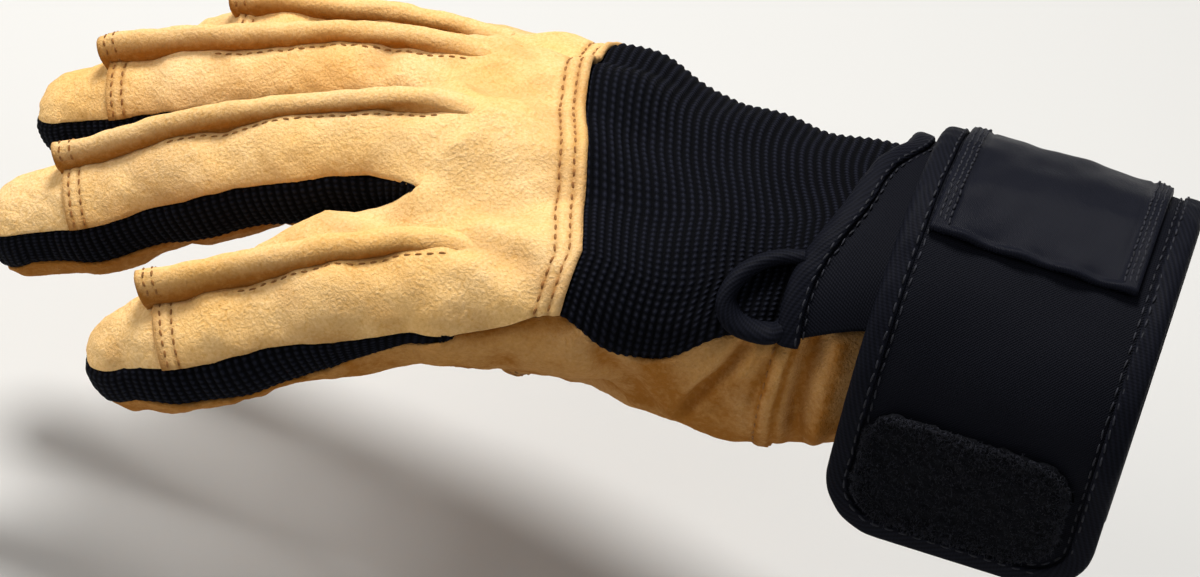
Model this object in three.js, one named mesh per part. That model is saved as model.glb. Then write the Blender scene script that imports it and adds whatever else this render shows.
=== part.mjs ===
import * as THREE from "three";

// Full-finger training glove for the right hand, kept in the form that it has when worn.
// Millimetres. Fingers point to -X, the thumb side is -Y, the back of the hand is +Z.
// The origin is the centre of the open cuff.

// Wall thicknesses and gaps
const LEATHER_T = 1.4;
const KNIT_T = 1.5;
const STRAP_T = 2.2;
const GAP = 0.4;
const SEAT = 0.3;

// Spine of each finger from the wrist to the fingertip: x, y, z, radius
const FINGERS = {
  index: [[20, -11, -1, 16], [-58, -13, -2, 15.5], [-88, -23, 0, 15.3], [-112, -30.5, -1, 14.2],
    [-134, -37, -5, 12.6], [-155, -42.5, -12.5, 12.4], [-176, -48, -24.6, 12.6],
    [-186, -50.8, -30, 12.2], [-193.5, -52.8, -33.8, 10.8]],
  middle: [[20, -4, 0, 16], [-58, -5, 0, 16], [-88, -8, 1.5, 15.5], [-120, -9.5, 3.5, 14],
    [-147, -11, 7.2, 12.4], [-175, -14.5, -3.2, 12.2], [-195, -17.5, -14.2, 12.2],
    [-214, -21, -27, 12.2], [-228, -24, -34, 10.8]],
  ring: [[20, 4, 0, 16], [-58, 5, 0, 16], [-88, 9, 1.2, 15], [-120, 12.5, 3.2, 13.8],
    [-151, 14.4, 2.6, 11.7], [-175, 13.8, -3.5, 11.7], [-206, 12, -17, 11.8],
    [-219, 11.5, -24.5, 11.6], [-232, 10.6, -31.5, 10.2]],
  little: [[20, 11, -1, 16], [-58, 13, -2, 15], [-88, 21, -1.5, 14], [-118, 30, -2.4, 12.6],
    [-148, 37.1, -8.4, 10.8], [-171, 38.2, -12.8, 10.6], [-194, 39, -20, 10.5],
    [-204, 39.4, -24.5, 10.3], [-212, 39.6, -28, 9.4]],
};
const ORDER = ["index", "middle", "ring", "little"];
// Spine point where each finger leaves the hand
const KNUCKLE_ROW = 4;
const THUMB = [[-52, -12, -7, 14], [-74, -21, -11.5, 14.6], [-94, -22, -14.8, 13],
  [-110, -12, -23.4, 11.2], [-127, -7.5, -33.4, 10.4]];
const THUMB_ROOT_ROW = 2;
// Two bones of the wrist: start, end, start radius, end radius
const WRIST = [[[20, -7, 0], [-60, -8.5, -1], 24.3, 23.3], [[20, 7, 0], [-60, 8.5, -1], 24.3, 23.3]];
// Filled webs between the roots of the fingers: start, end, start radius, end radius
const WEBS = [[[-112, -20, 2.5], [-138, -25.2, 0.5], 10, 7.5], [[-118, 1.5, 5], [-143, 1.9, 5.2], 10, 7.6],
  [[-116, 21, 1], [-141, 25.5, -3.6], 9.5, 7]];
const BODY_BLEND = 10;
const FINGER_BLEND = 7;
const SPINE_BLEND = 4;

// Where the leather back ends towards the wrist, the finger meets the web and the cap is sewn on
const STATIONS = {
  index: { hem: -111.5, web: -139, seam: -184.5, fork: -153 },
  middle: { hem: -117.5, web: -140, seam: -216, fork: -155 },
  ring: { hem: -125.5, web: -142, seam: -219.5, fork: -156 },
  little: { hem: -121.5, web: -140, seam: -202.5, fork: -154 },
};
const CUFF_X = -0.5;
// Edge angles from the top of the finger: share of the finger, side of the leather, side of the palm
const SIDE_EDGES = [[0, 76, 138], [0.25, 72, 134], [0.55, 70, 122], [0.85, 66, 108], [1, 62, 104]];
const OUTER_EDGES = [[0, 84, 110], [0.15, 78, 122], [0.35, 73, 130], [0.6, 71, 124], [0.85, 66, 110], [1, 62, 104]];
// Rise of the two knit edges above the finger's own line at the fingertip, degrees
const TIP_RISE = { top: 24, low: -34 };
// Where the crease on the back lies between two fingers, as a share of the way to the second one
const VALLEY_SHARE = [0.41, 0.5, 0.54];
// How far the web stands ahead of the knuckle row's line
const WEB_DEPTH = 7;
// Room that the knit leaves below the leather at the web: down, ahead, and as degrees on the finger
const WEB_DOWN = 4;
const WEB_AHEAD = 1.2;
const WEB_CLEAR = 15;

// Edges of the leather on the two sides of the hand: x, edge of the back, edge of the palm,
// as degrees from straight up
const THUMB_SIDE_EDGE = [[5, -82, -82], [-57, -78, -78], [-82.6, -72, -72], [-88.5, -88, -88],
  [-93.5, -95, -95], [-98.4, -93, -93], [-106, -76, -76], [-111.5, -68, -68], [-122, -80, -80],
  [-131, -88, -88], [-133, -88, -94], [-139, -86, -101], [-147, -84, -110]];
const LITTLE_SIDE_EDGE = [[5, 82, 82], [-57, 80, 80], [-88, 84, 84], [-111.5, 86, 86], [-131, 90, 90],
  [-133, 89, 95], [-140, 86, 102], [-149, 84, 112]];
const OUTER_KNIT_END = -133;

// Small vector helpers
const add = (a, b, k = 1) => [a[0] + b[0] * k, a[1] + b[1] * k, a[2] + b[2] * k];
const sub = (a, b) => [a[0] - b[0], a[1] - b[1], a[2] - b[2]];
const dot = (a, b) => a[0] * b[0] + a[1] * b[1] + a[2] * b[2];
const cross = (a, b) => [a[1] * b[2] - a[2] * b[1], a[2] * b[0] - a[0] * b[2], a[0] * b[1] - a[1] * b[0]];
const norm = (a) => {
  const l = Math.hypot(a[0], a[1], a[2]) || 1;
  return [a[0] / l, a[1] / l, a[2] / l];
};
const mix = (a, b, t) => a + (b - a) * t;
const mixv = (a, b, t) => [mix(a[0], b[0], t), mix(a[1], b[1], t), mix(a[2], b[2], t)];
const rad = (d) => d * Math.PI / 180;
const steps = (a, b, n) => Array.from({ length: n + 1 }, (_, i) => mix(a, b, i / n));
function table(rows, x, col) {
  const up = rows[rows.length - 1][0] > rows[0][0];
  for (let i = 0; i < rows.length - 1; i++) {
    const a = rows[i], b = rows[i + 1];
    const inside = up ? x <= b[0] : x >= b[0];
    if (inside || i === rows.length - 2) {
      const t = Math.min(1, Math.max(0, (x - a[0]) / (b[0] - a[0])));
      return mix(a[col], b[col], t);
    }
  }
  return rows[0][col];
}

// Distance to a round bone, its blends, and the whole worn form
function bone(p, a, b, ra, rb) {
  const ab = sub(b, a);
  const t = Math.min(1, Math.max(0, dot(sub(p, a), ab) / dot(ab, ab)));
  const q = add(a, ab, t);
  return Math.hypot(p[0] - q[0], p[1] - q[1], p[2] - q[2]) - mix(ra, rb, t);
}
function blend(a, b, k) {
  const h = Math.max(k - Math.abs(a - b), 0) / k;
  return Math.min(a, b) - h * h * k * 0.25;
}
function chain(p, rows, from, to) {
  let d = null;
  for (let i = from; i < to; i++) {
    const e = bone(p, rows[i].slice(0, 3), rows[i + 1].slice(0, 3), rows[i][3], rows[i + 1][3]);
    d = d === null ? e : blend(d, e, SPINE_BLEND);
  }
  return d;
}
function handForm(p) {
  let d = null;
  for (const [a, b, ra, rb] of WRIST) {
    const e = bone(p, a, b, ra, rb);
    d = d === null ? e : blend(d, e, BODY_BLEND);
  }
  for (const f of ORDER) d = blend(d, chain(p, FINGERS[f], 0, KNUCKLE_ROW), BODY_BLEND);
  for (const [a, b, ra, rb] of WEBS) d = blend(d, bone(p, a, b, ra, rb), SPINE_BLEND);
  return blend(d, chain(p, THUMB, 0, THUMB_ROOT_ROW), BODY_BLEND);
}
function gloveForm(p, names = ORDER) {
  let d = null;
  for (const f of names) {
    const rows = FINGERS[f];
    const e = chain(p, rows, KNUCKLE_ROW - 1, rows.length - 1);
    d = d === null ? e : Math.min(d, e);
  }
  return blend(handForm(p), d, FINGER_BLEND);
}
function thumbForm(p) {
  return chain(p, THUMB, THUMB_ROOT_ROW - 1, THUMB.length - 1);
}
// Walk from inside along a ray until the form's level is met
function reach(o, d, level, form) {
  let t = 0;
  for (let i = 0; i < 60; i++) t = Math.min(70, Math.max(0, t - (form(add(o, d, t)) - level) * 0.92));
  return add(o, d, t);
}

// Smooth line through a spine, by x on the hand and by arc length on the finger
class Spine {
  constructor(rows) {
    this.curve = new THREE.CatmullRomCurve3(rows.map((r) => new THREE.Vector3(r[0], r[1], r[2])), false,
      "centripetal");
    this.curve.arcLengthDivisions = 400;
    this.length = this.curve.getLength();
  }
  at(s) {
    const u = Math.min(1, Math.max(0, s / this.length));
    return this.curve.getPointAt(u).toArray();
  }
  tangent(s) {
    const u = Math.min(1, Math.max(0, s / this.length));
    return this.curve.getTangentAt(u).toArray();
  }
  whereX(x) {
    let lo = 0, hi = this.length;
    for (let i = 0; i < 40; i++) {
      const m = (lo + hi) / 2;
      if (this.at(m)[0] > x) lo = m;
      else hi = m;
    }
    return (lo + hi) / 2;
  }
  frame(s) {
    const t = norm(this.tangent(s));
    const up = norm(add([0, 0, 1], t, -t[2]));
    return { o: this.at(s), t, up, side: cross(t, up) };
  }
}
const SPINES = {};
for (const f of ORDER) SPINES[f] = new Spine(FINGERS[f]);
const THUMB_SPINE = new Spine(THUMB);

// Shell of a sheet: each vertex is a ray, the outer face lies on one level and the inner face on another.
class Shell {
  constructor() {
    this.outer = [];
    this.inner = [];
    this.cells = [];
    this.keys = new Map();
  }
  vertex(outer, inner) {
    const key = outer.map((v) => Math.round(v * 50)).join(",");
    if (this.keys.has(key)) return this.keys.get(key);
    this.keys.set(key, this.outer.length);
    this.outer.push(outer);
    this.inner.push(inner);
    return this.outer.length - 1;
  }
  grid(rows) {
    const ids = rows.map((row) => row.map(([a, b]) => this.vertex(a, b)));
    for (let i = 0; i + 1 < ids.length; i++) {
      for (let j = 0; j + 1 < ids[i].length; j++) {
        this.face([ids[i][j], ids[i + 1][j], ids[i + 1][j + 1], ids[i][j + 1]]);
      }
    }
  }
  face(loop) {
    const c = loop.filter((v, i) => v !== loop[(i + 1) % loop.length]);
    if (c.length === 4) {
      const far = (i, j) => Math.hypot(...sub(this.outer[c[i]], this.outer[c[j]]));
      if (far(0, 2) <= far(1, 3)) this.cells.push([c[0], c[1], c[2]], [c[0], c[2], c[3]]);
      else this.cells.push([c[1], c[2], c[3]], [c[1], c[3], c[0]]);
    } else if (c.length === 3) this.cells.push(c);
  }
  solid() {
    const n = this.outer.length;
    const pos = [...this.outer, ...this.inner];
    const tris = [];
    const edges = new Map();
    for (const [a, b, c] of this.cells) {
      tris.push([a, b, c], [a + n, c + n, b + n]);
      for (const [p, q] of [[a, b], [b, c], [c, a]]) edges.set(`${p}_${q}`, [p, q]);
    }
    for (const [p, q] of edges.values()) {
      if (!edges.has(`${q}_${p}`)) tris.push([q, p, p + n], [q, p + n, q + n]);
    }
    return solidFrom(pos, tris);
  }
}
// Geometry with outward faces from points and triangles
function solidFrom(pos, tris) {
  let vol = 0;
  for (const [a, b, c] of tris) vol += dot(pos[a], cross(pos[b], pos[c]));
  const list = vol > 0 ? tris : tris.map(([a, b, c]) => [a, c, b]);
  const used = new Map();
  const flat = [];
  const index = list.flat().map((v) => {
    if (!used.has(v)) {
      used.set(v, used.size);
      flat.push(...pos[v]);
    }
    return used.get(v);
  });
  const g = new THREE.BufferGeometry();
  g.setAttribute("position", new THREE.Float32BufferAttribute(flat, 3));
  g.setIndex(index);
  g.computeVertexNormals();
  return g;
}

const glove = new THREE.Group();
function piece(name, geometry, color, roughness) {
  const m = new THREE.MeshStandardMaterial({ color, roughness, metalness: 0 });
  const mesh = new THREE.Mesh(geometry, m);
  mesh.name = name;
  glove.add(mesh);
  return mesh;
}
const SUEDE = 0xe6b873;
const KNIT = 0x1d1f26;
const TWILL = 0x17181d;

// One vertex of a wall: outer and inner points on the same ray
function wall(o, d, t, form, lift = 0) {
  return [reach(o, d, lift, form), reach(o, d, lift - t, form)];
}
const around = (fr, deg) => norm(add([0, 0, 0], add(fr.up.map((v) => v * Math.cos(rad(deg))), fr.side,
  Math.sin(rad(deg)))));
// Hand frame: sections square to X
function handFrame(f, x) {
  const s = SPINES[f].whereX(x);
  return { o: SPINES[f].at(s), t: [-1, 0, 0], up: [0, 0, 1], side: [0, 1, 0] };
}
// Angle of a point seen from a frame
function angleOf(fr, p) {
  const v = sub(p, fr.o);
  return Math.atan2(dot(v, fr.side), dot(v, fr.up)) * 180 / Math.PI;
}
// Strip of one finger in a hand section, between two shared valley points
function handRow(xs, sign, cols, t, edges) {
  const row = [];
  for (let k = 0; k < 4; k++) {
    const f = ORDER[k];
    const fr = handFrame(f, xs[k]);
    const ends = [0, 1].map((e) => {
      const j = k - 1 + e;
      if (j < 0) return { deg: edges[0] };
      if (j > 2) return { deg: edges[1] };
      const other = handFrame(ORDER[j + 1], xs[j + 1]);
      const mine = handFrame(ORDER[j], xs[j]);
      const o = mixv(mine.o, other.o, sign > 0 ? VALLEY_SHARE[j] : 0.5);
      const ahead = [o[0] - WEB_DEPTH * (edges.ahead || 0), o[1], o[2]];
      const pts = wall(ahead, [0, 0, sign], t, gloveForm);
      return { pts, deg: angleOf(fr, pts[0]) };
    });
    let from = ends[0].deg, to = ends[1].deg;
    if (sign < 0) {
      if (from > 0) from -= 360;
      if (to > 0) to -= 360;
    }
    for (let c = 0; c <= cols; c++) {
      if (k > 0 && c === 0) continue;
      if (c === cols && ends[1].pts) {
        row.push(ends[1].pts);
        continue;
      }
      row.push(wall(fr.o, around(fr, mix(from, to, c / cols)), t, gloveForm));
    }
  }
  return row;
}

// Rows shared by the pieces of the hand, as x on the index finger's side
const HAND_ROWS = [-0.5, -30, -57, -67, -75, -82.6, -88.5, -93.5, -98.4, -104.5, -111.5];
const KNUCKLE_ROWS = [-111.5, -117, -122, -131, -133, -139];
function acrossHand(x) {
  const at = STATIONS.index;
  return ORDER.map((f) => (x >= at.hem
    ? mix(CUFF_X, STATIONS[f].hem, (x - CUFF_X) / (at.hem - CUFF_X))
    : mix(STATIONS[f].hem, STATIONS[f].web, (x - at.hem) / (at.web - at.hem))));
}
// Angle that a gap takes at a finger's radius
const GAP_DEG = (GAP / 12.5) * 180 / Math.PI;
const HALF = GAP_DEG / 2;
const BACK_COLS = 6;
const PALM_COLS = 5;
const SIDE_COLS = 3;

// Stations along one finger: fork, seam and tip centre
const LINE = {};
for (const f of ORDER) {
  const sp = SPINES[f];
  const at = { fork: sp.whereX(STATIONS[f].fork), seam: sp.whereX(STATIONS[f].seam), tip: sp.length };
  at.rows = [...steps(at.fork, at.seam, 6), ...steps(at.seam, at.tip, 2).slice(1)];
  LINE[f] = at;
}
const share = (f, s) => (s - LINE[f].fork) / (LINE[f].tip - LINE[f].fork);
// Edge angles of one side of a finger, -1 towards the thumb, 1 towards the little finger
function edgesOf(f, side, s) {
  const k = ORDER.indexOf(f);
  const outside = (k === 0 && side < 0) || (k === 3 && side > 0);
  const rows = outside ? OUTER_EDGES : SIDE_EDGES;
  return [table(rows, share(f, s), 1), table(rows, share(f, s), 2)];
}
const single = {};
for (const f of ORDER) single[f] = (p) => chain(p, FINGERS[f], 1, FINGERS[f].length - 1);

// Row of the leather back across one finger
function backRow(f, s, t) {
  const fr = SPINES[f].frame(s);
  const lo = -edgesOf(f, -1, s)[0] + HALF, hi = edgesOf(f, 1, s)[0] - HALF;
  return steps(lo, hi, BACK_COLS).map((a) => wall(fr.o, around(fr, a), t, single[f]));
}
function palmRow(f, s, t) {
  const fr = SPINES[f].frame(s);
  const lo = -edgesOf(f, -1, s)[1] - HALF, hi = edgesOf(f, 1, s)[1] + HALF - 360;
  return steps(lo, hi, PALM_COLS).map((a) => wall(fr.o, around(fr, a), t, single[f]));
}
// Rounded end of a finger piece: rays turn from the last section to the rim around the tip
function tipRows(f, t, cols, rows, column, rise) {
  const fr = SPINES[f].frame(LINE[f].tip);
  const out = [];
  for (let r = 1; r <= rows; r++) {
    const row = [];
    for (let c = 0; c <= cols; c++) {
      const w = 2 * c / cols - 1;
      const e = edgesOf(f, Math.sign(w) || 1, LINE[f].tip);
      const turn = 1 - Math.abs(w);
      const side = 90 - e[column];
      const sgn = column === 0 ? -HALF : HALF;
      const start = (column === 0)
        ? around(fr, mix(-e[0] + HALF, e[0] - HALF, c / cols))
        : around(fr, mix(-e[1] - HALF, e[1] + HALF - 360, c / cols));
      const lift = mix(side - sgn, rise - sgn, Math.sin(rad(90 * turn)));
      const lat = add(fr.side.map((v) => v * Math.sin(rad(90 * w))), fr.t, Math.cos(rad(90 * w)));
      const end = norm(add(fr.up.map((v) => v * Math.sin(rad(lift))), norm(lat), Math.cos(rad(lift))));
      const d = r === rows ? end : norm(mixv(start, end, r / rows));
      row.push(wall(fr.o, Math.abs(w) > 0.999 ? end : d, t, single[f]));
    }
    out.push(row);
  }
  return out;
}

// Leather back: the knuckle panel and four finger tongues in one piece
const back = new Shell();
{
  let last = null;
  const rows = KNUCKLE_ROWS.map((x, i) => {
    const xs = acrossHand(x);
    const q = i / (KNUCKLE_ROWS.length - 1);
    const edge = [table(THUMB_SIDE_EDGE, xs[0], 1) + HALF, table(LITTLE_SIDE_EDGE, xs[3], 1) - HALF];
    edge.ahead = q * q;
    last = handRow(xs, 1, BACK_COLS, LEATHER_T, edge);
    return last;
  });
  back.grid(rows);
  ORDER.forEach((f, k) => {
    const first = last.slice(k * BACK_COLS, (k + 1) * BACK_COLS + 1);
    const own = LINE[f].rows.slice(0, 7).map((s, i) => backRow(f, i === 6 ? s - GAP / 2 : s, LEATHER_T));
    back.grid([first, ...own]);
  });
}
piece("leather_back", back.solid(), SUEDE, 0.95);

// Caps of the four fingers
for (const f of ORDER) {
  const cap = new Shell();
  const own = steps(LINE[f].seam + GAP / 2, LINE[f].tip, 2).map((s) => backRow(f, s, LEATHER_T));
  cap.grid([...own, ...tipRows(f, LEATHER_T, BACK_COLS, 3, 0, TIP_RISE.top)]);
  piece(`cap_${f}`, cap.solid(), SUEDE, 0.95);
}

// Knit walls: two between each pair of fingers in one piece, and one on each outer side
function sideRow(f, side, s, t) {
  const fr = SPINES[f].frame(s);
  const e = edgesOf(f, side, s);
  const root = s <= LINE[f].fork ? WEB_CLEAR : 0;
  return steps(e[0] + HALF + root, e[1] - HALF, SIDE_COLS)
    .map((a) => wall(fr.o, around(fr, side * a), t, single[f]));
}
function sideTip(f, side, t, rows) {
  const fr = SPINES[f].frame(LINE[f].tip);
  const e = edgesOf(f, side, LINE[f].tip);
  const out = [];
  const limit = 90 - GAP_DEG * 0.6;
  for (let r = 1; r <= rows; r++) {
    const az = limit * r / rows;
    const k = Math.sin(rad(az));
    const top = mix(90 - e[0], TIP_RISE.top, k) - HALF;
    const low = mix(90 - e[1], TIP_RISE.low, k) + HALF;
    const lat = norm(add(fr.side.map((v) => v * side * Math.cos(rad(az))), fr.t, Math.sin(rad(az))));
    out.push(steps(top, low, SIDE_COLS).map((el) => wall(fr.o, norm(add(fr.up.map((v) =>
      v * Math.sin(rad(el))), lat, Math.cos(rad(el)))), t, single[f])));
  }
  return out;
}
function sideRun(f, side) {
  const tip = sideTip(f, side, KNIT_T, 3).reverse();
  const along = [...LINE[f].rows].reverse().map((s) => sideRow(f, side, s, KNIT_T));
  return [...tip, ...along];
}
for (let k = 0; k < 3; k++) {
  const a = ORDER[k], b = ORDER[k + 1];
  const fa = handFrame(a, STATIONS[a].web), fb = handFrame(b, STATIONS[b].web);
  const x = mix(fa.o[0], fb.o[0], 0.5) - WEB_DEPTH - WEB_AHEAD;
  const [top, low] = [1, -1].map((sign) => {
    const o = mixv(fa.o, fb.o, sign > 0 ? VALLEY_SHARE[k] : 0.5);
    return reach([o[0] - WEB_DEPTH, o[1], o[2]], [0, 0, sign], 0, gloveForm);
  });
  const web = steps(0, 1, SIDE_COLS).map((q) => {
    const y = mix(top[1], low[1], q), z = mix(top[2] - WEB_DOWN, low[2] + 0.8, q);
    return [[x - KNIT_T, y, z], [x, y, z]];
  });
  const sheet = new Shell();
  sheet.grid([...sideRun(a, 1), web, ...sideRun(b, -1).reverse()]);
  piece(`knit_side_${a}_${b}`, sheet.solid(), KNIT, 1);
}
for (const [f, side, rows] of [["index", -1, THUMB_SIDE_EDGE], ["little", 1, LITTLE_SIDE_EDGE]]) {
  const sheet = new Shell();
  const tail = [STATIONS[f].web, OUTER_KNIT_END - 0.6].map((x) => {
    const fr = handFrame(f, x);
    const lo = table(rows, x, 1) + side * HALF, hi = table(rows, x, 2) - side * HALF;
    return steps(lo, hi, SIDE_COLS).map((a) => wall(fr.o, around(fr, a), KNIT_T, gloveForm));
  });
  sheet.grid([...sideRun(f, side), ...tail]);
  piece(`knit_side_${f}_outer`, sheet.solid(), KNIT, 1);
}

// Leather palm with the undersides of the fingers, cut away where the thumb is set in
const palm = new Shell();
{
  let last = null;
  const rows = [...HAND_ROWS, ...KNUCKLE_ROWS.slice(1)].map((x) => {
    const xs = acrossHand(x);
    const v = Math.max(0, (x - STATIONS.index.hem) / (STATIONS.index.web - STATIONS.index.hem));
    const edge = [table(THUMB_SIDE_EDGE, xs[0], 2) - HALF, table(LITTLE_SIDE_EDGE, xs[3], 2) + HALF];
    edge.ahead = v * v;
    last = handRow(xs, -1, PALM_COLS, LEATHER_T, edge);
    return last;
  });
  palm.grid(rows);
  const inThumb = (v) => thumbForm(palm.outer[v]) < -(LEATHER_T + 0.5);
  palm.cells = palm.cells.filter((c) => !c.every(inThumb));
  ORDER.forEach((f, k) => {
    const first = last.slice(k * PALM_COLS, (k + 1) * PALM_COLS + 1);
    const own = LINE[f].rows.map((s) => palmRow(f, s, LEATHER_T));
    palm.grid([first, ...own, ...tipRows(f, LEATHER_T, PALM_COLS, 2, 1, TIP_RISE.low)]);
  });
}
piece("leather_palm", palm.solid(), SUEDE, 0.95);

// Knit back from the leather hem to the cuff
const knitBack = new Shell();
knitBack.grid(HAND_ROWS.map((x, i) => {
  const xs = acrossHand(x).map((v) => (i === HAND_ROWS.length - 1 ? v + GAP : v));
  const edge = [table(THUMB_SIDE_EDGE, xs[0], 1) + HALF, table(LITTLE_SIDE_EDGE, xs[3], 1) - HALF];
  return handRow(xs, 1, BACK_COLS, KNIT_T, edge);
}));
piece("knit_back", knitBack.solid(), KNIT, 1);

// Sweep of a closed profile along points with surface normals. Profile points are (inward, height).
function sweep(points, normals, inward, profile) {
  const n = profile.length;
  const pos = [];
  points.forEach((p, i) => profile.forEach(([a, h]) => pos.push(add(add(p, inward[i], a), normals[i], h))));
  const tris = [];
  for (let i = 0; i + 1 < points.length; i++) {
    for (let j = 0; j < n; j++) {
      const a = i * n + j, b = i * n + (j + 1) % n;
      tris.push([a, b, b + n], [a, b + n, a + n]);
    }
  }
  const shape = profile.map(([a, h]) => new THREE.Vector2(a, h));
  const flip = THREE.ShapeUtils.isClockWise(shape);
  const m = (points.length - 1) * n;
  for (const [a, b, c] of THREE.ShapeUtils.triangulateShape(shape, [])) {
    if (flip) tris.push([a, b, c], [m + a, m + c, m + b]);
    else tris.push([a, c, b], [m + a, m + b, m + c]);
  }
  return solidFrom(pos, windingFixed(tris));
}
// Give every triangle the same sense as its neighbours
function windingFixed(tris) {
  const edges = new Map();
  tris.forEach((t, i) => {
    for (let k = 0; k < 3; k++) {
      const a = t[k], b = t[(k + 1) % 3];
      const key = a < b ? `${a}_${b}` : `${b}_${a}`;
      if (!edges.has(key)) edges.set(key, []);
      edges.get(key).push([i, a < b]);
    }
  });
  const sense = new Array(tris.length).fill(0);
  sense[0] = 1;
  const queue = [0];
  while (queue.length) {
    const i = queue.pop();
    const t = tris[i];
    for (let k = 0; k < 3; k++) {
      const a = t[k], b = t[(k + 1) % 3];
      const key = a < b ? `${a}_${b}` : `${b}_${a}`;
      const mine = edges.get(key).find((e) => e[0] === i);
      for (const [j, dir] of edges.get(key)) {
        if (j === i || sense[j]) continue;
        sense[j] = dir === mine[1] ? -sense[i] : sense[i];
        queue.push(j);
      }
    }
  }
  return tris.map((t, i) => (sense[i] < 0 ? [t[0], t[2], t[1]] : t));
}

// Pinched ridge on each finger: x where it fades out, height at the cap end, height at the hand end
const RIDGES = {
  index: [-127, 7.6, 2.2], middle: [-136, 5.6, 1.8], ring: [-137, 6, 2], little: [-138, 5, 1.8],
};
const RIDGE_OVERHANG = 3;
const RIDGE_PROFILE = [[-0.3, 0], [-0.36, 0.45], [-0.22, 0.86], [0.1, 1], [0.36, 0.8], [0.42, 0.4], [0.3, 0]];
for (const f of ORDER) {
  const [endX, high, low] = RIDGES[f];
  const k = ORDER.indexOf(f);
  const onFinger = [LINE[f].seam + RIDGE_OVERHANG, ...LINE[f].rows.slice(0, 7).reverse()]
    .map((s) => SPINES[f].frame(s));
  const onHand = [...KNUCKLE_ROWS].reverse().map((x) => acrossHand(x)[k]).filter((x) => x < endX - 1);
  const frames = [...onFinger, ...[...onHand, endX].map((x) => handFrame(f, x))];
  const rings = frames.map((fr, i) => {
    const q = i / (frames.length - 1);
    const p = reach(fr.o, fr.up, SEAT, i < onFinger.length ? single[f] : gloveForm);
    const h = mix(high, low, Math.pow(q, 0.8));
    const w = mix(high * 0.82, low * 1.4, q);
    return RIDGE_PROFILE.map(([a, b]) => add(add(p, fr.side, a * w), fr.up, b * h));
  });
  const n = RIDGE_PROFILE.length;
  const pos = rings.flat();
  const tris = [];
  for (let i = 0; i + 1 < rings.length; i++) {
    for (let j = 0; j < n; j++) {
      const a = i * n + j, b = i * n + (j + 1) % n;
      tris.push([a, b, b + n], [a, b + n, a + n]);
    }
  }
  const m = (rings.length - 1) * n;
  for (let j = 1; j + 1 < n; j++) tris.push([0, j + 1, j], [m, m + j, m + j + 1]);
  piece(`ridge_${f}`, solidFrom(pos, windingFixed(tris)), SUEDE, 0.95);
}

// Thumb tube, set on the palm, and its cap
const THUMB_COLS = 14;
const THUMB_SEAM = THUMB_SPINE.length - 0.6;
{
  const tube = new Shell();
  const lines = [];
  for (let c = 0; c < THUMB_COLS; c++) {
    const a = 360 * c / THUMB_COLS;
    const rayAt = (s) => {
      const fr = THUMB_SPINE.frame(s);
      return wall(fr.o, around(fr, a), LEATHER_T, thumbForm);
    };
    let lo = 26, hi = THUMB_SEAM - 2;
    for (let i = 0; i < 26; i++) {
      const m = (lo + hi) / 2;
      const [p, q] = rayAt(m);
      if (Math.min(gloveForm(p), gloveForm(q)) < SEAT + 0.25) lo = m;
      else hi = m;
    }
    lines.push(steps(hi, THUMB_SEAM, 5).map(rayAt));
  }
  lines.push(lines[0]);
  const rows = lines[0].map((_, i) => lines.map((l) => l[i]));
  tube.grid(rows);
  piece("thumb_tube", tube.solid(), SUEDE, 0.95);
  const cap = new Shell();
  const fr = THUMB_SPINE.frame(THUMB_SPINE.length);
  const shift = { o: add(fr.o, fr.t, -0.2) };
  const tipRow = (phi) => {
    const row = [];
    for (let c = 0; c <= THUMB_COLS; c++) {
      const d = norm(add(around(fr, 360 * c / THUMB_COLS).map((v) => v * Math.cos(rad(phi))), fr.t,
        Math.sin(rad(phi))));
      row.push(wall(shift.o, d, LEATHER_T, thumbForm));
    }
    return row;
  };
  cap.grid([0, 28, 52, 72, 90].map(tipRow));
  piece("cap_thumb", cap.solid(), SUEDE, 0.95);
}

// Cross-section of a wrap around the wrist: angles from the root to the last angle, then straight down
function wrapPath(a, b, drop, from, to, hangZ) {
  const pts = [];
  for (let i = 0; i <= 120; i++) {
    const w = rad(mix(from, to, i / 120));
    pts.push([a * Math.sin(w), b * Math.cos(w) - drop]);
  }
  if (hangZ !== null) {
    const [y, z] = pts[pts.length - 1];
    for (let i = 1; i <= 20; i++) pts.push([y - 0.8 * Math.sin(Math.PI * i / 40), mix(z, hangZ, i / 20)]);
  }
  const len = [0];
  for (let i = 1; i < pts.length; i++) {
    len.push(len[i - 1] + Math.hypot(pts[i][0] - pts[i - 1][0], pts[i][1] - pts[i - 1][1]));
  }
  const total = len[len.length - 1];
  return {
    total,
    at(u) {
      const s = Math.min(total, Math.max(0, u));
      let i = 1;
      while (i < len.length - 1 && len[i] < s) i++;
      const t = (s - len[i - 1]) / (len[i] - len[i - 1]);
      const p = [mix(pts[i - 1][0], pts[i][0], t), mix(pts[i - 1][1], pts[i][1], t)];
      const i0 = Math.max(0, i - 3), i1 = Math.min(pts.length - 1, i + 2);
      const d = [pts[i1][0] - pts[i0][0], pts[i1][1] - pts[i0][1]];
      const l = Math.hypot(d[0], d[1]);
      return { p, n: [d[1] / l, -d[0] / l], d: [d[0] / l, d[1] / l] };
    },
  };
}
// Outer strap: middle surface, edges along X, corner radius of the free end
const STRAP = { a: 38.6, b: 31.4, drop: 0.8, from: 196, to: -92, hang: -28.4, left: -54, right: 0.5,
  corner: 13 };
const PATH = wrapPath(STRAP.a, STRAP.b, STRAP.drop, STRAP.from, STRAP.to, STRAP.hang);
const outward = (at) => {
  const n = [0, at.n[0], at.n[1]];
  return dot(n, [0, at.p[0], at.p[1]]) < 0 ? n.map((v) => -v) : n;
};
function strapPoint(u, x, h) {
  const at = PATH.at(u);
  return add([x, at.p[0], at.p[1]], outward(at), h);
}
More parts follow.
